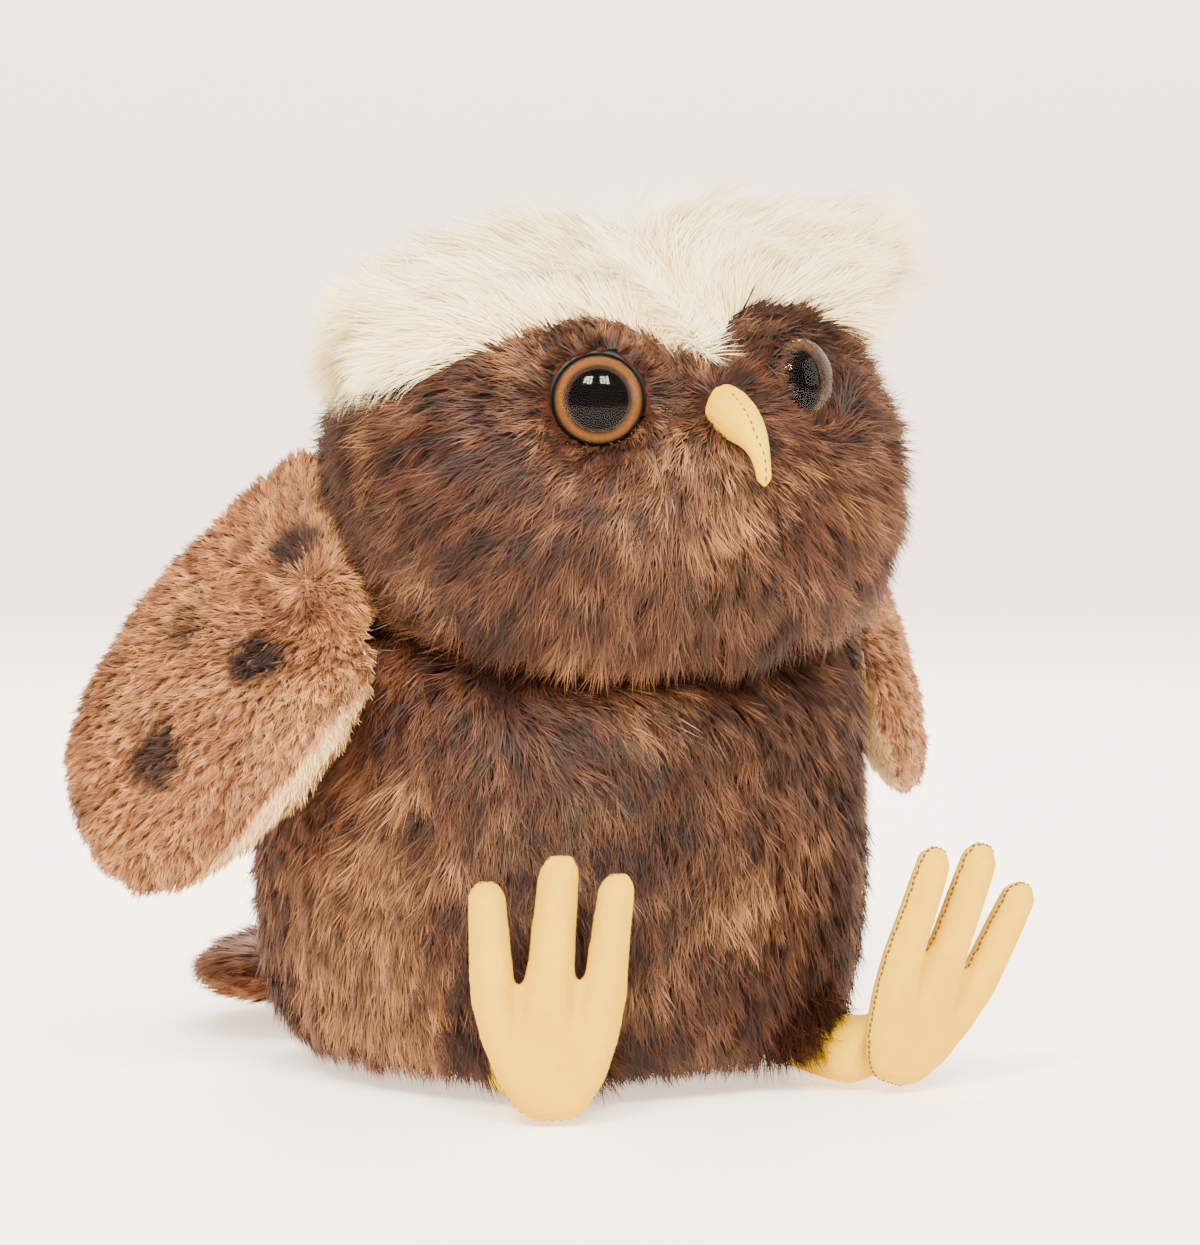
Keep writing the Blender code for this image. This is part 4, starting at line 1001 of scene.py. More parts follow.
@dataclass
class PhotoView:
    """The photograph's camera, and the way from one of its pixels to a place on the owl."""

    azimuth: float = math.radians(-29.5)
    elevation: float = math.radians(4.0)
    distance: float = 1.2
    target: Colour = (10.4 * MM, -5.9 * MM, 119.1 * MM)
    focal_px: float = 4444.0
    sensor: float = 36.0

    def eye(self) -> Vector:
        """Where the camera stands."""
        flat = math.cos(self.elevation)
        across, deep = math.sin(self.azimuth) * flat, -math.cos(self.azimuth) * flat
        return Vector(self.target) + Vector((across, deep, math.sin(self.elevation))) * self.distance

    def turn(self) -> Matrix:
        """The camera's rotation."""
        return (Vector(self.target) - self.eye()).to_track_quat('-Z', 'Y').to_matrix()

    def camera(self) -> Object:
        """Creates the camera and makes it the scene's own."""
        data = bpy.data.cameras.new("photo_camera")
        data.sensor_fit = 'VERTICAL'
        data.sensor_height = self.sensor
        data.lens = self.focal_px * self.sensor / PHOTO_HEIGHT
        data.clip_start = 0.05
        made = bpy.data.objects.new("photo_camera", data)
        made.matrix_world = Matrix.Translation(self.eye()) @ self.turn().to_4x4()
        bpy.context.scene.collection.objects.link(made)
        bpy.context.scene.camera = made
        return made

    def ray(self, across: float, down: float) -> Vector:
        """Direction from the camera through a pixel of the photograph."""
        right, up = across - PHOTO_WIDTH / 2, PHOTO_HEIGHT / 2 - down
        return (self.turn() @ Vector((right / self.focal_px, up / self.focal_px, -1.0))).normalized()

    def on_plane(self, across: float, down: float, middle: Vector, normal: Vector) -> Vector:
        """Place where a pixel's ray meets a plane."""
        ray = self.ray(across, down)
        return self.eye() + ray * ((middle - self.eye()).dot(normal) / ray.dot(normal))

    def pixels(self, places: Points) -> Points:
        """Pixels of the photograph at which some places show."""
        local = (places - np.array(self.eye())) @ np.array(self.turn())
        scale = self.focal_px / -local[:, 2]
        return np.stack([PHOTO_WIDTH / 2 + local[:, 0] * scale, PHOTO_HEIGHT / 2 - local[:, 1] * scale], 1)

    def spot(self, across: float, down: float, tree: BVHTree) -> Vector:
        """Place on a surface that a pixel of the photograph shows.

        Args:
            across: Pixels from the left.
            down: Pixels from the top.
            tree: The surface.

        Returns:
            The place, or the nearest one to the ray where it misses.
        """
        ray = self.ray(across, down)
        hit = tree.ray_cast(self.eye(), ray)[0]
        if hit is None:
            hit = tree.find_nearest(self.eye() + ray * self.distance)[0]
        return hit


@dataclass(frozen=True)
class Patch:
    """A soft-edged patch of another tint, placed by the photograph."""

    across: float
    down: float
    radius: float
    colour: Colour
    strength: float = 0.85

    def lay(self, places: Points, tint: Points, tree: BVHTree, view: PhotoView) -> Points:
        """Blends the patch into the tints of some places."""
        middle = np.array(view.spot(self.across, self.down, tree))
        away = np.linalg.norm(places - middle, axis=1)
        edge = self.radius * (1.0 + 0.35 * mottle(places, 6.0 * MM, self.across))
        share = self.strength * (1.0 - smooth_step(away / edge, 0.6, 1.15))
        return tint * (1.0 - share[:, None]) + np.array(self.colour) * share[:, None]


COVER_WALL = 1.0 * MM
PAD_WALL = 0.6 * MM
FELT_WALL = 0.9 * MM
BROWN = srgb(102, 53, 28)
DARK_BROWN = srgb(56, 23, 11)
LIGHT_TAN = srgb(176, 124, 82)
CREAM_WHITE = srgb(255, 246, 200)
WARM_WHITE = srgb(255, 236, 170)
SPOT_BROWN = srgb(30, 11, 5)
RIGHT_WING_SPOTS = (Patch(300, 552, 7.5 * MM, SPOT_BROWN, 0.95), Patch(190, 628, 6.0 * MM, SPOT_BROWN, 0.8),
                    Patch(264, 655, 9.0 * MM, SPOT_BROWN, 1.0), Patch(162, 756, 10.5 * MM, SPOT_BROWN, 0.95),
                    Patch(88, 796, 6.0 * MM, SPOT_BROWN, 0.8))
RIGHT_WING_ROOT = ((205, 562), (256, 508), (303, 470), (332, 512), (345, 560), (358, 610))
FELT_YELLOW = srgb(206, 160, 0)
FELT_LIGHT = srgb(216, 174, 4)
FELT_SHADOW = srgb(170, 122, 0)


def brown_tint(places: Points, seed: float) -> Points:
    """Brown of the body and head, with darker and paler swirls."""
    broad = mottle(places, 26.0 * MM, seed)[:, None]
    fine = mottle(places, 7.0 * MM, seed + 5.0)[:, None]
    value = np.clip(0.46 + 0.42 * broad + 0.4 * fine, 0.0, 1.0)
    brown, dark, tan = (np.array(colour) for colour in (BROWN, DARK_BROWN, LIGHT_TAN))
    low = dark + (brown - dark) * np.clip(value * 2.0, 0.0, 1.0)
    return low + (tan - low) * np.clip(value * 2.0 - 1.0, 0.0, 1.0) * 0.75


def panels_of(skin: Mesh) -> Points:
    """Number of the cover that each face of a skin belongs to."""
    return read(skin.attributes["panel"].data, "value", 1, np.int32)


def blended(first: Colour, second: Colour, share: Points) -> Points:
    """A tint for each place, between two colours."""
    share = share[:, None]
    return np.array(first) * (1.0 - share) + np.array(second) * share


def along_surface(vectors: Points, outward: Points) -> Points:
    """Vectors laid flat on a surface, of length one."""
    flat = vectors - outward * np.sum(vectors * outward, axis=1, keepdims=True)
    return unit(flat)


def dress(mesh: Mesh, flow: Points, pile: Points, tint: Points, cover: Points) -> None:
    """Stores what the pile reads on each vertex of a skin."""
    store(mesh, "flow", 'FLOAT_VECTOR', flow)
    store(mesh, "pile", 'FLOAT', pile)
    store(mesh, "tint", 'FLOAT_COLOR', np.hstack([tint, np.ones((len(tint), 1))]))
    store(mesh, "cover", 'FLOAT', cover)


def once(finish: object) -> Material:
    """A field that holds a finish's material, built once."""
    return field(default_factory=finish.material)


@dataclass
class Finishes:
    """Every material of the owl, made once."""

    brown_pile: Material = once(PileFinish(
        "brown pile", tip=srgb(160, 114, 78), tip_share=0.5, contrast=0.84,
        sheen_tint=srgb(168, 100, 66)))
    white_pile: Material = once(PileFinish(
        "white pile", root_share=0.9, tip=srgb(255, 252, 228), tip_share=0.7, contrast=0.04, sheen=0.7,
        sheen_tint=srgb(255, 244, 210)))
    tan_pile: Material = once(PileFinish(
        "tan pile", root_share=0.22, tip=srgb(206, 148, 94), tip_share=0.45, contrast=0.5,
        sheen_tint=srgb(240, 214, 190)))
    cream_pile: Material = once(PileFinish(
        "cream pile", root_share=0.66, tip=srgb(244, 220, 172), tip_share=0.3, contrast=0.16,
        sheen_tint=srgb(250, 240, 220)))
    brown_backing: Material = once(BackingFinish("brown backing", srgb(62, 30, 17), srgb(40, 18, 10)))
    white_backing: Material = once(BackingFinish("white backing", srgb(238, 226, 200), srgb(214, 196, 160)))
    tan_backing: Material = once(BackingFinish("tan backing", srgb(150, 106, 76), srgb(112, 74, 50)))
    cream_backing: Material = once(BackingFinish("cream backing", srgb(224, 202, 166), srgb(196, 170, 130)))
    felt: Material = once(FeltFinish("yellow felt", FELT_YELLOW, FELT_SHADOW, FELT_LIGHT))
    dark_thread: Material = once(ThreadFinish("dark thread", srgb(70, 42, 14)))
    iris: Material = once(IrisFinish())
    lens: Material = once(LensFinish())
    pupil: Material = once(PlasticFinish("black pupil", srgb(2, 1, 1), 0.9, shine=0.0))
    rim: Material = once(PlasticFinish("dark rim", srgb(9, 6, 5), 0.45, shine=0.2))
    nylon: Material = once(PlasticFinish("white nylon", srgb(226, 226, 220), 0.5))
    fibre: Material = once(BackingFinish("white fibre", srgb(240, 240, 238), srgb(214, 214, 212)))
    calico: Material = once(BackingFinish("calico", srgb(226, 218, 198), srgb(198, 188, 164)))


class OwlBody:
    """Body covers with their brown pile, and the base panel."""

    PANELS = ("body_front_panel", "body_back_left_panel", "body_back_right_panel", "base_panel")
    # Painted light: SUN_SIDE is the way the lit side faces, SUN the painted light added there and SHADE the
    # painted shade level elsewhere.
    SUN_SIDE = np.array((-0.75, 0.66, 0.0))
    SHADE, SUN = 0.28, 0.5
    SWIRLS = ((42.0 * MM, 2.0, 0.75), (15.0 * MM, 8.0, 0.45))
    CUFF_FLOW = np.array((0.0, -1.1, -0.6))
    FLOOR_LENGTH = 0.3
    # Spots and patches of the fur's own tint, with painted light among them. Painted sheen: the light tan
    # patch at (330, 950) lightens the rump's lower left.
    SPOTS = (Patch(330, 950, 34.0 * MM, LIGHT_TAN, 0.35), Patch(730, 1020, 30.0 * MM, DARK_BROWN, 0.3),
             # Painted shade: the dark brown patch at (480, 740) darkens the chest under the head.
             Patch(480, 740, 36.0 * MM, DARK_BROWN, 0.35), Patch(378, 708, 7.5 * MM, SPOT_BROWN, 0.95),
             Patch(326, 800, 5.5 * MM, SPOT_BROWN, 0.95), Patch(334, 880, 6.5 * MM, SPOT_BROWN, 0.95),
             Patch(402, 1052, 12.0 * MM, LIGHT_TAN, 0.4), Patch(757, 902, 12.0 * MM, LIGHT_TAN, 0.3),
             Patch(790, 800, 30.0 * MM, LIGHT_TAN, 0.05),
             Patch(395, 780, 9.0 * MM, LIGHT_TAN, 0.3), Patch(640, 690, 14.0 * MM, LIGHT_TAN, 0.12))

    def __init__(self, finishes: Finishes, view: PhotoView) -> None:
        """Keeps the finishes and the view."""
        self.finishes = finishes
        self.view = view
        self.form = StuffedForm(self.PANELS, ("body_stuffing", "pellet_pouch"))

    @staticmethod
    def near_legs(places: Points) -> Points:
        """Share from 0 to 1 by how near each place is to where a leg comes out."""
        roots = [node_points("leg_" + side.word) for side in Side]
        roots = [points[np.argmax(points[:, 1])] for points in roots]
        away = np.min([np.linalg.norm(places - root, axis=1) for root in roots], axis=0)
        return 1.0 - smooth_step(away, 15.0 * MM, 24.0 * MM)

    def build(self, pile: Pile) -> None:
        """Builds the covers and grows their pile.

        Args:
            pile: The brown pile.
        """
        skin = self.form.skin()
        places, outward = coordinates(skin), normals(skin)
        cuff = self.near_legs(places)[:, None]
        flow = along_surface(swirls(places, *self.SWIRLS) - UP, outward)
        flow = flow * (1.0 - cuff) + self.CUFF_FLOW * cuff
        # Painted light: the brown is painted lighter towards SUN_SIDE, where the light falls, and darker away
        # from it as painted shade.
        sun = smooth_step(places @ self.SUN_SIDE, -10.0 * MM, 80.0 * MM)[:, None]
        tint = brown_tint(places, 3.0) * (self.SHADE + self.SUN * sun)
        tree = node_tree(self.PANELS)
        for spot in self.SPOTS:
            tint = spot.lay(places, tint, tree, self.view)
        length = 1.0 + 0.22 * mottle(places, 20.0 * MM, 4.0) + 0.5 * cuff[:, 0]
        low = smooth_step(places[:, 2], 1.0 * MM, 17.0 * MM)
        cover = np.where(outward[:, 2] < -0.75, 0.0, 1.0)
        dress(skin, flow, length * (self.FLOOR_LENGTH + (1.0 - self.FLOOR_LENGTH) * low), tint, cover)
        for number, node in enumerate(self.PANELS):
            patch = self.form.patch(skin, number)
            cover_piece(node.replace("panel", "cover"), patch, COVER_WALL, self.finishes.brown_backing,
                        "root", node)
            if node != "base_panel":
                pile.grow(node.replace("panel", "pile"), patch, "root", "brown_plush")


class OwlHead:
    """Head covers with brown pile, and the two long white brows."""

    PANELS = ("face_panel", "head_back_left_panel", "head_back_right_panel", "brow_left", "brow_right")
    PATCHES = (Patch(690, 540, 17.0 * MM, LIGHT_TAN, 0.06), Patch(735, 500, 9.0 * MM, LIGHT_TAN, 0.3),
               Patch(650, 430, 9.0 * MM, LIGHT_TAN, 0.12), Patch(450, 470, 18.0 * MM, DARK_BROWN, 0.25),
               Patch(330, 520, 8.0 * MM, LIGHT_TAN, 0.45), Patch(850, 420, 18.0 * MM, DARK_BROWN, 0.4),
               Patch(860, 560, 16.0 * MM, DARK_BROWN, 0.35))
    EYE_PLUG, BEAK_PLUG = (9.0 * MM, 14.0 * MM), (8.0 * MM, 11.0 * MM)
    FACE_SWELL = 2.8 * MM
    SKIN_GAP = 0.9 * MM
    ARCH = 23.0 * MM
    SHADE = 0.355
    SWIRLS = ((30.0 * MM, 6.0, 0.45), (11.0 * MM, 9.0, 0.35))
    BROW_SWIRLS = ((26.0 * MM, 14.0, 0.25), (9.0 * MM, 15.0, 0.25))
    BROW_PATCHES = (Patch(650, 240, 5.5 * MM, BROWN, 1.0), Patch(684, 240, 5.0 * MM, BROWN, 1.0))

    def __init__(self, finishes: Finishes, view: PhotoView) -> None:
        """Finds the eyes and the beak in the frame."""
        self.finishes = finishes
        self.view = view
        self.middle = np.mean(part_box("head_stuffing"), axis=0)
        self.set_eyes = [OwlEye(side, finishes, self.middle) for side in Side]
        self.eyes = np.array([eye.middle for eye in self.set_eyes])
        self.beak = self.beak_root()
        holes = [(eye, *self.EYE_PLUG) for eye in self.eyes] + [(self.beak, *self.BEAK_PLUG)]
        plugs = [(Vector(place + unit(self.middle - place) * depth), radius)
                 for place, depth, radius in holes]
        self.form = StuffedForm(self.PANELS, ("head_stuffing",), voxel=3.2 * MM, plugs=plugs, smoothing=8)

    def beak_root(self) -> Points:
        """Middle of the beak's end in the face."""
        points = node_points("beak_stuffing")
        away = np.linalg.norm(points - self.middle, axis=1)
        return points[np.argsort(away)[: len(points) // 8]].mean(axis=0)

    def nearest_eye(self, places: Points) -> tuple[Points, Points, Points]:
        """Looks up the nearest eye of each place.

        Args:
            places: The places.

        Returns:
            Each one's distance from its eye, the way from that eye, and 1 for the right eye, 0 for the left.
        """
        away = np.stack([np.linalg.norm(places - eye, axis=1) for eye in self.eyes])
        eyes = self.eyes[np.argmin(away, axis=0)]
        return away.min(axis=0), unit(places - eyes), (eyes[:, 0] < self.middle[0]).astype(float)

    def shape_skin(self, skin: Mesh) -> None:
        """Fills out the face round the eyes and the beak, and makes room for each eye."""
        places, outward = coordinates(skin), normals(skin)
        from_beak = np.linalg.norm(places - self.beak, axis=1)
        near = np.minimum(self.nearest_eye(places)[0], from_beak + 3.0 * MM)
        swell = self.FACE_SWELL * (1.0 - smooth_step(near, 15.0 * MM, 27.0 * MM))
        places = places + outward * swell[:, None]
        for eye in self.set_eyes:
            places = eye.make_room(places)
        move_to(skin, clear_of(places, ("head_stuffing",), self.SKIN_GAP))
        panel = panels_of(skin)
        panel[self.nearest_eye(read(skin.polygons, "center"))[0] < self.ARCH] = 0
        skin.attributes["panel"].data.foreach_set("value", panel)

    def build(self, pile: Pile, brow_pile: Pile) -> None:
        """Builds the covers and grows both piles.

        Args:
            pile: The brown pile.
            brow_pile: The long white pile.
        """
        skin = self.form.skin()
        outward = normals(skin)
        self.shape_skin(skin)
        self.comb_face(skin, outward)
        for number, node in enumerate(self.PANELS):
            patch = self.form.patch(skin, number)
            brow = node.startswith("brow")
            name = node + "_cover" if brow else node.replace("panel", "cover")
            cloth = self.finishes.white_backing if brow else self.finishes.brown_backing
            slot = "white_plush" if brow else "brown_plush"
            cover_piece(name, patch, COVER_WALL, cloth, "head", node)
            if brow:
                self.comb_brow(patch)
            grown = brow_pile if brow else pile
            grown.grow(name.replace("cover", "pile"), patch, "head", slot)

    def comb_face(self, skin: Mesh, outward: Points) -> None:
        """Stores the brown pile's flow, length and tint: out from beak and right eye, down at the back.

        Args:
            skin: The head's skin.
            outward: Its normals before the face was filled out.
        """
        places = coordinates(skin)
        from_beak = places - self.beak
        beak_away = np.linalg.norm(from_beak, axis=1)
        behind = smooth_step(places[:, 1], -20.0 * MM, 30.0 * MM)[:, None]
        fan = unit(from_beak) + 0.35 * -UP
        heading = fan * (1.0 - behind) + np.array((0.0, 0.6, -1.0)) * behind + swirls(places, *self.SWIRLS)
        eye_away, from_eye, open_eye = self.nearest_eye(places)
        ring = (1.0 - smooth_step(eye_away, 15.0 * MM, 24.0 * MM))[:, None]
        heading = unit(heading) * (1.0 - 0.8 * ring) + from_eye * ring * (1.35 * open_eye - 0.25)[:, None]
        tint = brown_tint(places, 11.0) * self.SHADE
        tree = node_tree(("face_panel",))
        for patch in self.PATCHES:
            tint = patch.lay(places, tint, tree, self.view)
        close = np.minimum(eye_away - 12.0 * MM * open_eye, beak_away - 9.0 * MM)
        hanging = 1.0 - smooth_step(outward[:, 2], -0.75, -0.2)
        length = 0.42 + 0.70 * smooth_step(close, 0.0, 34.0 * MM) + 0.12 * mottle(places, 18.0 * MM, 4.0)
        bare = (eye_away > self.set_eyes[0].collar + 0.2 * MM) & (beak_away > 4.5 * MM)
        dress(skin, along_surface(heading, outward), length + 0.3 * hanging, tint, bare.astype(float))

    def comb_brow(self, patch: Mesh) -> None:
        """Stores a brow's own flow, length and tint: outward from the cleft, down at its lower edge.

        Args:
            patch: The brow's skin.
        """
        places, outward = coordinates(patch), normals(patch)
        side = np.sign(places[:, 0] - self.middle[0])[:, None]
        from_cleft = np.abs(places[:, 0] - self.middle[0])[:, None]
        lowest = places[:, 2].min()
        rise = smooth_step(places[:, 2], lowest, lowest + 26.0 * MM)[:, None]
        out = np.array((1.0, 0.0, 0.0)) * side
        down = -UP * (1.0 - rise) * 0.9 + UP * rise * 0.35
        front = smooth_step(-places[:, 1], 0.0, 45.0 * MM)[:, None]
        back = np.array((0.0, 1.0, 0.0)) * (1.0 - front) * 0.7
        heading = out * (0.55 + 0.45 * smooth_step(from_cleft, 0.0, 40.0 * MM)) + down + back
        heading = heading + swirls(places, *self.BROW_SWIRLS)
        far = smooth_step(from_cleft[:, 0], 44.0 * MM, 76.0 * MM)
        tipped = far * (side[:, 0] > 0.0)
        heading = heading + (out * 0.9 + UP * 0.25) * tipped[:, None]
        eye_away, from_eye, _ = self.nearest_eye(places)
        arch = 1.0 - smooth_step(eye_away, self.ARCH, self.ARCH + 14.0 * MM)
        flow = along_surface(heading + from_eye * (1.6 * arch)[:, None], outward)
        flow = flow + out * 0.5 * tipped[:, None]
        length = 0.6 + 0.42 * rise[:, 0] - 0.34 * far * (1.0 - rise[:, 0]) * (side[:, 0] < 0.0)
        length = (length + 0.38 * tipped + 0.1 * mottle(places, 14.0 * MM, 7.0)) * (1.0 - 0.35 * arch)
        paler = np.clip(0.7 + 0.5 * mottle(places, 12.0 * MM, 17.0), 0.0, 1.0)
        tint = blended(WARM_WHITE, CREAM_WHITE, paler)
        tree = node_tree(("brow_right", "brow_left"))
        for spot in self.BROW_PATCHES:
            tint = spot.lay(places, tint, tree, self.view)
        forget(patch, ("flow", "pile", "tint", "cover"))
        dress(patch, flow, length, tint, np.ones(len(places)))


class OwlEye:
    """One eye: clear dome, amber iris, black pupil and dark rim, turned about the frame's axis."""

    COLUMNS = 64
    DOME_STEPS = 18
    PUPIL_SHARE = 1.04
    STEM = 2.4 * MM

    def __init__(self, side: Side, finishes: Finishes, head_middle: Points) -> None:
        """Finds the eye's place and axis from the frame.

        Args:
            side: The owl's own side.
            finishes: The materials.
            head_middle: The head's middle, which the eye looks away from.
        """
        self.side = side
        self.finishes = finishes
        rim = node_points("eye_rim_" + side.word)
        self.middle = rim.mean(axis=0)
        axis = np.linalg.svd(rim - self.middle, full_matrices=False)[2][2]
        if np.dot(axis, self.middle - head_middle) < 0:
            axis = -axis
        turn = Vector(axis).to_track_quat('Z', 'Y').to_matrix().to_4x4()
        self.place = Matrix.Translation(Vector(self.middle)) @ turn
        self.inverse = np.array(self.place.inverted())
        self.collar = self.reach("iris")[0] + 0.8 * MM

    def local(self, places: Points) -> Points:
        """Places seen from the eye, with its axis as Z."""
        return places @ self.inverse[:3, :3].T + self.inverse[:3, 3]

    def reach(self, node: str) -> tuple[float, float, float]:
        """Outer radius, and lowest and highest point along the axis, of one of the eye's nodes."""
        local = self.local(node_points("eye_%s_%s" % (node, self.side.word)))
        return np.hypot(local[:, 0], local[:, 1]).max(), local[:, 2].min(), local[:, 2].max()

    def make_room(self, places: Points) -> Points:
        """Sinks the skin behind the eye, so that the eye sits in the cloth."""
        local = self.local(places)
        away = np.hypot(local[:, 0], local[:, 1])
        wide, low, high = self.reach("rim")
        past = away - self.collar
        most = low - 0.5 * MM + (high - low + 0.8 * MM) * smooth_step(past, -0.4 * MM, 0.4 * MM)
        most = most + np.maximum(past, 0.0) * 1.3
        least = np.where((past > 0.2 * MM) & (away < wide + 0.6 * MM), high + 0.2 * MM, -1.0)
        near = (away < wide + 6.0 * MM) & (np.abs(local[:, 2]) < 25.0 * MM)
        sunk = np.where(near, np.maximum(np.minimum(local[:, 2], most), least), local[:, 2])
        turned = np.array(self.place)
        return places + (sunk - local[:, 2])[:, None] * turned[:3, 2]

    def turned(self, name: str, slot: str, profile: Sequence[tuple[float, float]], material: Material,
               closed: bool = False) -> None:
        """Turns a profile of (radius, height) pairs about the eye's axis into a piece.

        Args:
            name: The piece's name without its side.
            slot: The record's material slot, which the node is named by too.
            profile: Pairs from the axis behind to the axis in front, or round a closed outline.
            material: Its material.
            closed: Whether the outline ends where it starts.
        """
        shape = bmesh.new()
        layer = shape.verts.layers.float.new("radius")
        widest = max(radius for radius, _ in profile)
        rings = []
        for radius, height in profile:
            turns = [math.tau * step / self.COLUMNS for step in range(self.COLUMNS if radius else 1)]
            ring = [shape.verts.new((radius * math.cos(turn), radius * math.sin(turn), height))
                    for turn in turns]
            for vertex in ring:
                vertex[layer] = radius / widest
            rings.append(ring)
        for lower, upper in zip(rings, rings[1:] + rings[:1] if closed else rings[1:]):
            for step in range(self.COLUMNS):
                after = step + 1
                corners = (lower[step % len(lower)], lower[after % len(lower)],
                           upper[after % len(upper)], upper[step % len(upper)])
                shape.faces.new(list(dict.fromkeys(corners)))
        shape.transform(self.place)
        bmesh.ops.recalc_face_normals(shape, faces=shape.faces)
        mesh = from_shape(shape, name)
        mesh.shade_smooth()
        mesh.set_sharp_from_angle(angle=math.radians(50 if closed else 40))
        word = "_" + self.side.word
        finished(name + word, mesh, "head", slot + word, material=material)

    def build(self) -> None:
        """Builds the eye's pieces."""
        wide, low, high = self.reach("lens")
        dome = [(wide * math.sin(turn), low + (high - low) * math.cos(turn))
                for turn in (math.pi / 2 * step / self.DOME_STEPS for step in range(self.DOME_STEPS, 0, -1))]
        self.turned("eye_dome", "eye_lens", [(0.0, low), *dome, (0.0, high)], self.finishes.lens)
        wide, low, high = self.reach("pupil")
        wide *= self.PUPIL_SHARE
        self.turned("eye_black", "eye_pupil", [(0.0, low), (wide, low), (wide, high - 0.1 * MM),
                                               (wide * 0.97, high), (wide * 0.5, high), (0.0, high)],
                    self.finishes.pupil)
        iris_wide, low, high = self.reach("iris")
        stem, disc = self.STEM, high - 1.0 * MM
        face = [(iris_wide * share, high) for share in (1.0, 0.92, 0.8, 0.7)]
        self.turned("eye_amber", "eye_iris", [(0.0, low), (stem, low), (stem, disc), (iris_wide, disc), *face,
                                              (0.0, high)], self.finishes.iris)
        wide, low, high = self.reach("rim")
        hole, inner, collar, lip = stem + 0.3 * MM, iris_wide + 0.35 * MM, self.collar, high + 1.3 * MM
        self.turned("eye_socket", "eye_rim", [
            (hole, low), (wide - 0.4 * MM, low), (wide, low + 0.4 * MM), (wide - 0.2 * MM, high - 0.3 * MM),
            (collar, high), (collar, lip - 0.4 * MM), (collar - 0.4 * MM, lip), (inner, lip - 0.2 * MM),
            (inner, high), (hole, high)], self.finishes.rim, closed=True)


class StitchTree(GrowthTree):
    """Node tree that lays stitches at even spaces along a curve."""

    def __init__(self, material: Material) -> None:
        """Builds the tree around one thread material."""
        super().__init__("stitches", ("Space", "Stitch", "Thread"))
        given = self.given
        line = self.fed("GeometryNodeMeshToCurve", {"Mesh": given["Geometry"]})
        even = self.fed("GeometryNodeResampleCurve", {"Curve": line, "Length": given["Space"]}, mode='LENGTH')
        thread = self.fed("GeometryNodeMeshCylinder", {"Vertices": 8, "Side Segments": 4,
                                                       "Radius": given["Thread"], "Depth": given["Stitch"]})
        along = self.fed("ShaderNodeSeparateXYZ", {0: self.position()}, 2)
        share = self.math('DIVIDE', along, given["Stitch"])
        sink = self.combined(self.product(share, share, given["Stitch"]), 0.0, 0.0)
        arc = self.fed("GeometryNodeSetPosition", {"Geometry": thread, "Offset": sink})
        upright = self.aligned(self.fed("GeometryNodeInputTangent", {}), axis='Z')
        faced = self.aligned(self.named("inward", 'FLOAT_VECTOR'), rotation=upright, axis='X', pivot_axis='Z')
        given = {"Points": even, "Instance": arc, "Rotation": faced}
        self.end(self.fed("GeometryNodeInstanceOnPoints", given), material)

    def sew(self, name: str, seam: tuple[Points, Points], closed: bool, body: str, node: str,
            sizes: tuple[float, float, float]) -> None:
        """Sews stitches along a seam.

        Args:
            name: The piece's name.
            seam: Points along the seam, and for each one the way into the cloth.
            closed: Whether the seam ends where it starts.
            body: The body that it rides on.
            node: The node that it stands for.
            sizes: From one stitch to the next, a stitch's length, and the thread's radius.
        """
        line = bpy.data.meshes.new("seam")
        count = len(seam[0])
        edges = [(place, (place + 1) % count) for place in range(count if closed else count - 1)]
        line.from_pydata(seam[0].tolist(), edges, [])
        store(line, "inward", 'FLOAT_VECTOR', seam[1])
        mesh = self.grown(line, dict(zip(("Space", "Stitch", "Thread"), sizes)))
        mesh.shade_smooth()
        finished(name, mesh, body, node)


class OwlBeak:
    """Felt beak with a hand-stitched ridge."""

    SEAM_SHARES = (0.6, 0.7, 0.76, 0.78, 0.78, 0.76, 0.72, 0.66)
    DRAWN_IN = np.array((0.8, 0.86, 0.87))
    SEAM_LIFT = 0.08 * MM
    STITCH_SIZES = (2.0 * MM, 1.3 * MM, 0.22 * MM)

    def __init__(self, finishes: Finishes, stitches: StitchTree, view: PhotoView) -> None:
        """Keeps the finishes, the stitch tree and the view."""
        self.finishes = finishes
        self.stitches = stitches
        self.view = view

    def build(self) -> None:
        """Builds the stuffing, the cover and its stitches."""
        form = StuffedForm(("beak_cover",), ("beak_stuffing",), voxel=0.8 * MM, smoothing=4, plump_cap=0.0)
        mesh = form.smoothed(form.remeshed())
        places = coordinates(mesh)
        root, tip = places[np.argmax(places[:, 1])], places[np.argmin(places[:, 2])]
        still = root + (tip - root) * 0.4
        move_to(mesh, still + (places - still) * self.DRAWN_IN)
        mesh.shade_smooth()
        filling = mesh.copy()
        move_to(filling, coordinates(mesh) - normals(mesh) * FELT_WALL)
        finished("beak_fill", filling, "head", "beak_stuffing", material=self.finishes.fibre)
        finished("beak_felt", mesh, "head", "beak_cover", self.finishes.felt)
        tree = surface_of(mesh)
        shown = self.view.pixels(coordinates(mesh))
        top, bottom = shown[:, 1].min(), shown[:, 1].max()
        points = []
        for number, share in enumerate(self.SEAM_SHARES):
            row = top + (bottom - top) * (0.1 + 0.82 * number / (len(self.SEAM_SHARES) - 1))
            level = shown[np.abs(shown[:, 1] - row) < 4.0, 0]
            points.append(self.view.spot(level.min() + share * (level.max() - level.min()), row, tree))
        self.stitches.sew("beak_stitches", on_surface(points, tree, self.SEAM_LIFT), False, "head",
                          "beak_thread", self.STITCH_SIZES)


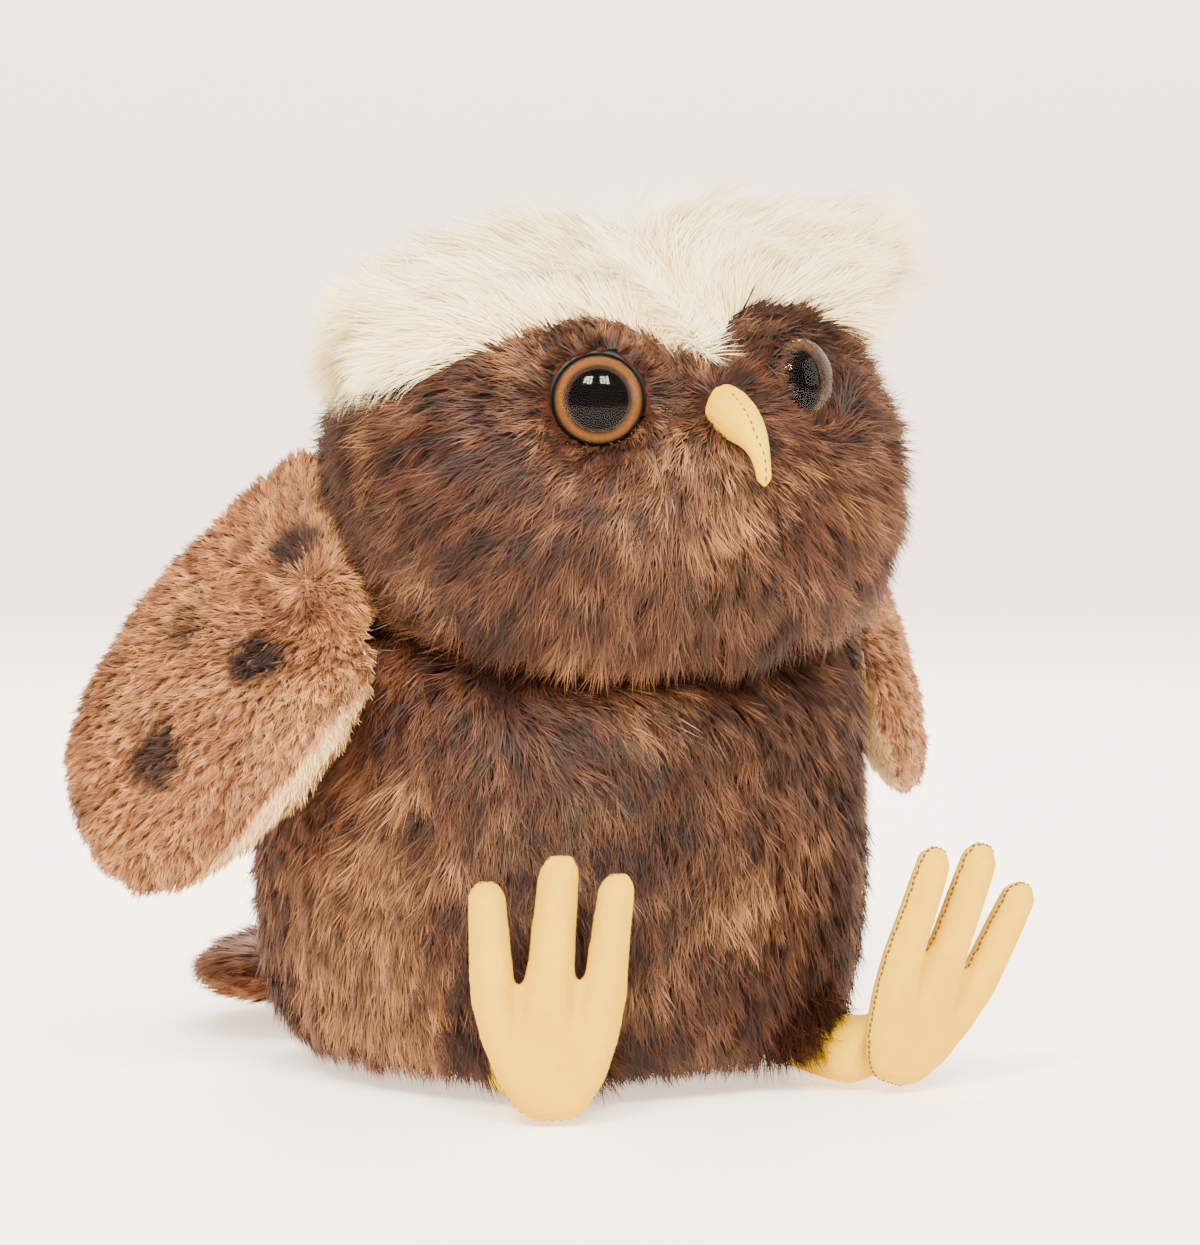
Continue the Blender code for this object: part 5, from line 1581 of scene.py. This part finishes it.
class OwlFoot:
    """One felt foot with three toes, its edge stitches and its leg."""

    VOXEL = 0.9 * MM
    SEAM_INSET = 1.1 * MM
    SEAM_LIFT = 0.06 * MM
    LEG_SINK = 20.0 * MM
    LEG_FLARE = 1.2

    def __init__(self, side: Side, finishes: Finishes, stitches: StitchTree) -> None:
        """Keeps the side, finishes and stitch tree."""
        self.side = side
        self.finishes = finishes
        self.stitches = stitches
        self.body = side.word + "_leg"
        self.spacing, self.thread = (2.2 * MM, 0.17 * MM) if side is Side.RIGHT else (1.6 * MM, 0.32 * MM)

    def build(self) -> None:
        """Builds the sole, the upper side, the stitches and the leg."""
        word = self.side.word
        covers = ("foot_%s_sole" % word, "foot_%s_upper" % word)
        fill = "foot_%s_stuffing" % word
        form = StuffedForm(covers, (fill,), voxel=self.VOXEL, inset=0.0, plump_cap=0.0, smoothing=16,
                           subdivisions=0, proud_share=0.0)
        skin = form.skin()
        for number, node in enumerate(covers):
            patch = form.patch(skin, number)
            if number == 0:
                self.sew_edge(patch)
            cover_piece(node + "_felt", patch, FELT_WALL, self.finishes.felt, self.body, node)
        self.build_leg()

    def sew_edge(self, sole: Mesh) -> None:
        """Sews the dark stitches on the sole, just inside its edge."""
        tree = surface_of(sole)
        edge = self.edge_line(sole)
        for _ in range(8):
            edge = (np.roll(edge, 1, axis=0) + edge * 2.0 + np.roll(edge, -1, axis=0)) / 4.0
        along = unit(np.roll(edge, -1, axis=0) - np.roll(edge, 1, axis=0))
        outward = np.array([tree.find_nearest(Vector(point))[1] for point in edge])
        flat = unit(outward.mean(axis=0))
        inside = unit(np.cross(flat, along))
        around = np.cross(edge - edge.mean(axis=0), along) @ flat
        if around.sum() < 0.0:
            inside = -inside
        seam = on_surface(edge + inside * self.SEAM_INSET, tree, self.SEAM_LIFT)
        word = self.side.word
        self.stitches.sew("foot_%s_stitches" % word, seam, True, self.body, "foot_%s_thread" % word,
                          (self.spacing, 0.64 * self.spacing, self.thread))

    @staticmethod
    def edge_line(patch: Mesh) -> Points:
        """The longest open edge of a patch, in order."""
        shape = bmesh.new()
        shape.from_mesh(patch)
        left = dict.fromkeys(edge for edge in shape.edges if edge.is_boundary)
        lines = []
        while left:
            first = next(iter(left))
            del left[first]
            line = list(first.verts)
            while True:
                step = next((edge for edge in line[-1].link_edges if edge in left), None)
                if step is None:
                    break
                del left[step]
                line.append(step.other_vert(line[-1]))
            lines.append([vertex.co.copy() for vertex in line[:-1]])
        shape.free()
        return np.array(max(lines, key=len))

    def build_leg(self) -> None:
        """Builds the felt leg as a smooth tube."""
        word = self.side.word
        form = StuffedForm(("leg_" + word,), (), voxel=self.VOXEL, smoothing=6, plump_cap=0.0)
        mesh = form.smoothed(form.remeshed())
        places = coordinates(mesh)
        deep, near = places[:, 1].max(), places[:, 1].min()
        ends = [places[np.abs(places[:, 1] - end) < 3.0 * MM].mean(axis=0) for end in (deep, near)]
        share = np.clip((deep - places[:, 1]) / (deep - near), 0.0, 1.0)[:, None]
        line = ends[0] + (ends[1] - ends[0]) * share
        places = line + (places - line) * (1.0 + (self.LEG_FLARE - 1.0) * share)
        places[:, 2] = np.maximum(places[:, 2], FLOOR_CLEARANCE)
        places[:, 1] += self.LEG_SINK * smooth_step(places[:, 1], deep - 9.0 * MM, deep - 4.0 * MM)
        move_to(mesh, places)
        mesh.shade_smooth()
        finished("leg_%s_felt" % word, mesh, self.body, "leg_" + word, self.finishes.felt)


class OwlPad:
    """A flat stuffed pad with a different short pile on each side: a wing or the tail."""

    TURNED_EDGE = np.array((0.62, -0.35, -0.70))
    OUTER_SIDE = np.array((-0.78, -0.39, 0.49))
    HINGE_SIDE = np.array((0.49, -0.29, 0.82))
    HINGE_FROM, HINGE_TO = 16.0 * MM, 4.0 * MM
    ROOT_BALL = 5.5 * MM
    LINING_TURN = 6.4 * MM
    SWIRLS = ((24.0 * MM, 5.0, 0.3), (8.0 * MM, 6.0, 0.3))

    def __init__(self, name: str, panels: Sequence[str], body: str, spots: Sequence[Patch] = (),
                 root_pixels: Sequence[tuple[float, float]] = (), view: PhotoView | None = None,
                 swell: float = 0.6 * MM) -> None:
        """Keeps the pad's names.

        Args:
            name: The stuffing's name without its last word.
            panels: The nodes of its two panels.
            body: The body that it rides on.
            spots: Dark spots on the first panel.
            root_pixels: Where the photograph shows its root run on, if it does.
            view: The photograph's view, for those.
            swell: How far the skin stays outside the stuffing.
        """
        self.name = name
        self.panels = panels
        self.body = body
        self.spots = spots
        self.shown_root = bool(root_pixels)
        hull = []
        if root_pixels:
            points = node_points(panels[0])
            middle = points.mean(axis=0)
            normal = Vector(np.linalg.svd(points - middle, full_matrices=False)[2][2])
            hull = [(view.on_plane(*pixel, Vector(middle), normal), self.ROOT_BALL) for pixel in root_pixels]
        self.form = StuffedForm(panels, (name + "_stuffing",), voxel=1.7 * MM, inset=1.3 * MM, fill_depth=1.0,
                                proud_share=0.0, over_fill=swell, plump_cap=1.2 * MM, smoothing=10,
                                subdivisions=0, hull=hull)

    def turn_lining(self, skin: Mesh) -> None:
        """Lets the lining come round the edge that the photograph shows it on."""
        middles = read(skin.polygons, "center")
        facing = unit(middles - middles.mean(axis=0)) @ unit(self.TURNED_EDGE)
        reach = self.LINING_TURN * smooth_step(facing, 0.5, 0.72)
        panel = panels_of(skin)
        panel[(read(skin.polygons, "normal") @ self.OUTER_SIDE > 0.15) & (facing < 0.62)] = 0
        panel[distances(middles, node_tree((self.panels[1],))) < reach] = 1
        skin.attributes["panel"].data.foreach_set("value", panel)

    def hinge(self, piece: Object) -> None:
        """Bakes the piece's transform and leaves it on no body where the pad's root is shown, or lets the
        piece ride on the pad.
        """
        if self.shown_root:
            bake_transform(piece)
        else:
            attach(piece, self.body)

    def root(self) -> Points:
        """Where the pad is sewn on, from its joint in the frame."""
        for joint in frame["joints"]:
            if joint["child"] == self.body:
                return np.array(joint["pos_m"])
        return np.zeros(3)

    def build(self, tints: Sequence[Callable[[Points], Points]], piles: Sequence[Pile],
              backings: Sequence[Material], slots: Sequence[str], view: PhotoView) -> None:
        """Builds both panels and grows their pile.

        Args:
            tints: Tint of places on each panel.
            piles: Pile of each panel.
            backings: Backing cloth of each panel.
            slots: Material slot of each panel.
            view: The photograph's view, for spots.
        """
        skin = self.form.skin()
        if self.shown_root:
            self.turn_lining(skin)
        for number, node in enumerate(self.panels):
            patch = self.form.patch(skin, number)
            word = node.replace("_panel", "")
            self.hinge(cover_piece(word + "_cover", patch, PAD_WALL, backings[number], "", node))
            places, outward = coordinates(patch), normals(patch)
            away = unit(places - self.root())
            heading = away - 0.25 * UP + swirls(places, *self.SWIRLS)
            tint = tints[number](places)
            if number == 0:
                tree = surface_of(patch)
                for spot in self.spots:
                    tint = spot.lay(places, tint, tree, view)
            length = 1.0 + 0.15 * mottle(places, 14.0 * MM, 3.0)
            dress(patch, along_surface(heading, outward), length, tint, np.ones(len(places)))
            for piece in piles[number].grow(word + "_pile", patch, "", slots[number]):
                self.hinge(piece)


def tan_tint(places: Points) -> Points:
    """Tan of the wings' outer side, mottled."""
    value = 0.5 + 0.5 * mottle(places, 20.0 * MM, 21.0) + 0.55 * mottle(places, 6.0 * MM, 23.0)
    return blended(srgb(100, 52, 28), srgb(176, 120, 74), np.clip(value, 0.0, 1.0))


def cream_tint(places: Points) -> Points:
    """Cream of the wings' lining."""
    value = np.clip(0.5 + 0.5 * mottle(places, 16.0 * MM, 31.0), 0.0, 1.0)
    return blended(srgb(204, 160, 100), srgb(232, 198, 142), value)


def tail_tint(places: Points) -> Points:
    """Brown of the tail, a little redder than the body."""
    return brown_tint(places, 41.0) * np.array((1.0, 0.92, 0.86))


def dress_inner_parts(finishes: Finishes) -> None:
    """Gives the inner nodes that stay as the frame has them their materials."""
    kinds = (("stuffing", finishes.fibre), ("pellet_pouch", finishes.calico), ("eye_washer", finishes.nylon),
             ("neck_thread", finishes.dark_thread))
    for name, node in frame["nodes"].items():
        for word, material in kinds:
            if word in name:
                node.data.materials.clear()
                node.data.materials.append(material)


@dataclass
class Studio:
    """Plain pale floor and backdrop, and soft studio lights."""

    BEND_STEPS = 12
    WIDER = 1.6
    GLOW = 1.25
    ROOM_LIGHT = 1.6
    AIM = Vector((0.0, 0.0, 0.12))
    LAMPS = (("key_light", (-1.05, -1.0, 1.25), 0.42, 68.0, srgb(255, 246, 228)),
             ("second_key_light", (-0.4, -1.4, 1.25), 0.42, 56.0, srgb(255, 246, 228)),
             ("fill_light", (1.15, -0.95, 0.65), 0.9, 9.0, srgb(255, 240, 226)),
             ("back_light", (0.5, 0.85, 1.0), 0.7, 34.0, srgb(255, 246, 236)))

    floor_size: float = 8.0
    wall_back: float = 2.6
    bend_radius: float = 0.6
    floor_colour: Colour = srgb(252, 247, 240)
    glow_colour: Colour = srgb(255, 232, 208)

    def build(self) -> None:
        """Builds the stage, the lights and the world."""
        self.build_sweep()
        for lamp in self.LAMPS:
            self.add_light(*lamp)
        world = bpy.data.worlds.new("soft room")
        world.use_nodes = True
        air = world.node_tree.nodes["Background"].inputs
        air["Color"].default_value = (*srgb(255, 246, 234), 1.0)
        air["Strength"].default_value = self.ROOM_LIGHT
        bpy.context.scene.world = world

    def build_sweep(self) -> None:
        """Builds the floor that curves up behind into the backdrop, seen square from the camera."""
        shape = bmesh.new()
        half = self.floor_size / 2
        line = [(-half, 0.0), (self.wall_back, 0.0)]
        for step in range(1, self.BEND_STEPS + 1):
            turn = math.pi / 2 * step / self.BEND_STEPS
            line.append((self.wall_back + self.bend_radius * math.sin(turn),
                         self.bend_radius * (1 - math.cos(turn))))
        line.append((self.wall_back + self.bend_radius, self.floor_size))
        turn = Matrix.Rotation(PhotoView().azimuth, 4, 'Z')
        wide = half * self.WIDER
        rows = [[shape.verts.new(turn @ Vector((side * wide, depth, height))) for side in (-1, 1)]
                for depth, height in line]
        for first, second in zip(rows, rows[1:]):
            shape.faces.new((first[0], first[1], second[1], second[0]))
        mesh = from_shape(shape, "studio_sweep")
        mesh.shade_smooth()
        shader = Shader("pale sweep")
        shader.set(Base_Color=self.floor_colour, Roughness=0.85, Specular_IOR_Level=0.2,
                   Emission_Color=self.glow_colour, Emission_Strength=self.GLOW)
        mesh_object("studio_sweep", mesh, shader.material)

    def add_light(self, name: str, place: Colour, size: float, power: float, colour: Colour) -> None:
        """Adds one soft light aimed at the owl."""
        data = bpy.data.lights.new(name, 'AREA')
        data.size = size
        data.energy = power
        data.color = colour
        made = bpy.data.objects.new(name, data)
        made.location = place
        made.rotation_euler = (self.AIM - Vector(place)).to_track_quat('-Z', 'Y').to_euler()
        bpy.context.scene.collection.objects.link(made)


def main() -> None:
    """Builds the whole scene in order."""
    logging.basicConfig(level=logging.INFO, format="%(name)s %(message)s")
    noise.seed_set(NOISE_SEED)
    finishes = Finishes()
    view = PhotoView()
    view.camera()
    Studio().build()
    brown_tree = PileTree(2, finishes.brown_pile, "brown pile")
    white_tree = PileTree(3, finishes.white_pile, "white pile")
    tan_tree = PileTree(2, finishes.tan_pile, "tan pile")
    cream_tree = PileTree(2, finishes.cream_pile, "cream pile")
    body_pile = Pile(brown_tree, 2.5e6, 10.5 * MM, 0.44 * MM, 0.75, bend=0.4, softness=0.5, seed=11)
    head_pile = Pile(brown_tree, 2.8e6, 11.0 * MM, 0.42 * MM, 0.75, bend=0.4, softness=0.5, seed=23)
    brow_pile = Pile(white_tree, 3.6e6, 19.5 * MM, 0.3 * MM, 0.95, bend=0.4, tuft_size=4.0 * MM,
                     tuft_pull=0.4, tuft_lean=0.2, stray_share=0.16, softness=0.9, seed=31)
    tan_pile = Pile(tan_tree, 3.9e6, 4.4 * MM, 0.39 * MM, 0.85, bend=0.35, tuft_size=2.0 * MM, tuft_lean=0.8,
                    seed=41)
    cream_pile = Pile(cream_tree, 2.2e6, 3.6 * MM, 0.42 * MM, 0.8, tuft_size=2.0 * MM, seed=47)
    tail_pile = Pile(brown_tree, 3.4e6, 7.5 * MM, 0.38 * MM, 0.7, bend=0.35, tuft_size=2.4 * MM, seed=53)
    OwlBody(finishes, view).build(body_pile)
    head = OwlHead(finishes, view)
    head.build(head_pile, brow_pile)
    for eye in head.set_eyes:
        eye.build()
    stitches = StitchTree(finishes.dark_thread)
    for side in Side:
        OwlFoot(side, finishes, stitches).build()
        shown = (RIGHT_WING_SPOTS, RIGHT_WING_ROOT) if side is Side.RIGHT else ((), ())
        wing = OwlPad("wing_" + side.word, ("wing_%s_outer_panel" % side.word, "wing_%s_lining" % side.word),
                      side.word + "_wing", *shown, view)
        wing.build((tan_tint, cream_tint), (tan_pile, cream_pile),
                   (finishes.tan_backing, finishes.cream_backing), ("tan_plush", "cream_lining"), view)
    OwlBeak(finishes, stitches, view).build()
    tail = OwlPad("tail", ("tail_top_panel", "tail_under_panel"), "tail", swell=2.4 * MM)
    tail.build((tail_tint, tan_tint), (tail_pile, tail_pile), (finishes.brown_backing, finishes.tan_backing),
               ("brown_plush", "tan_plush"), view)
    dress_inner_parts(finishes)


if __name__ == "__main__":
    main()
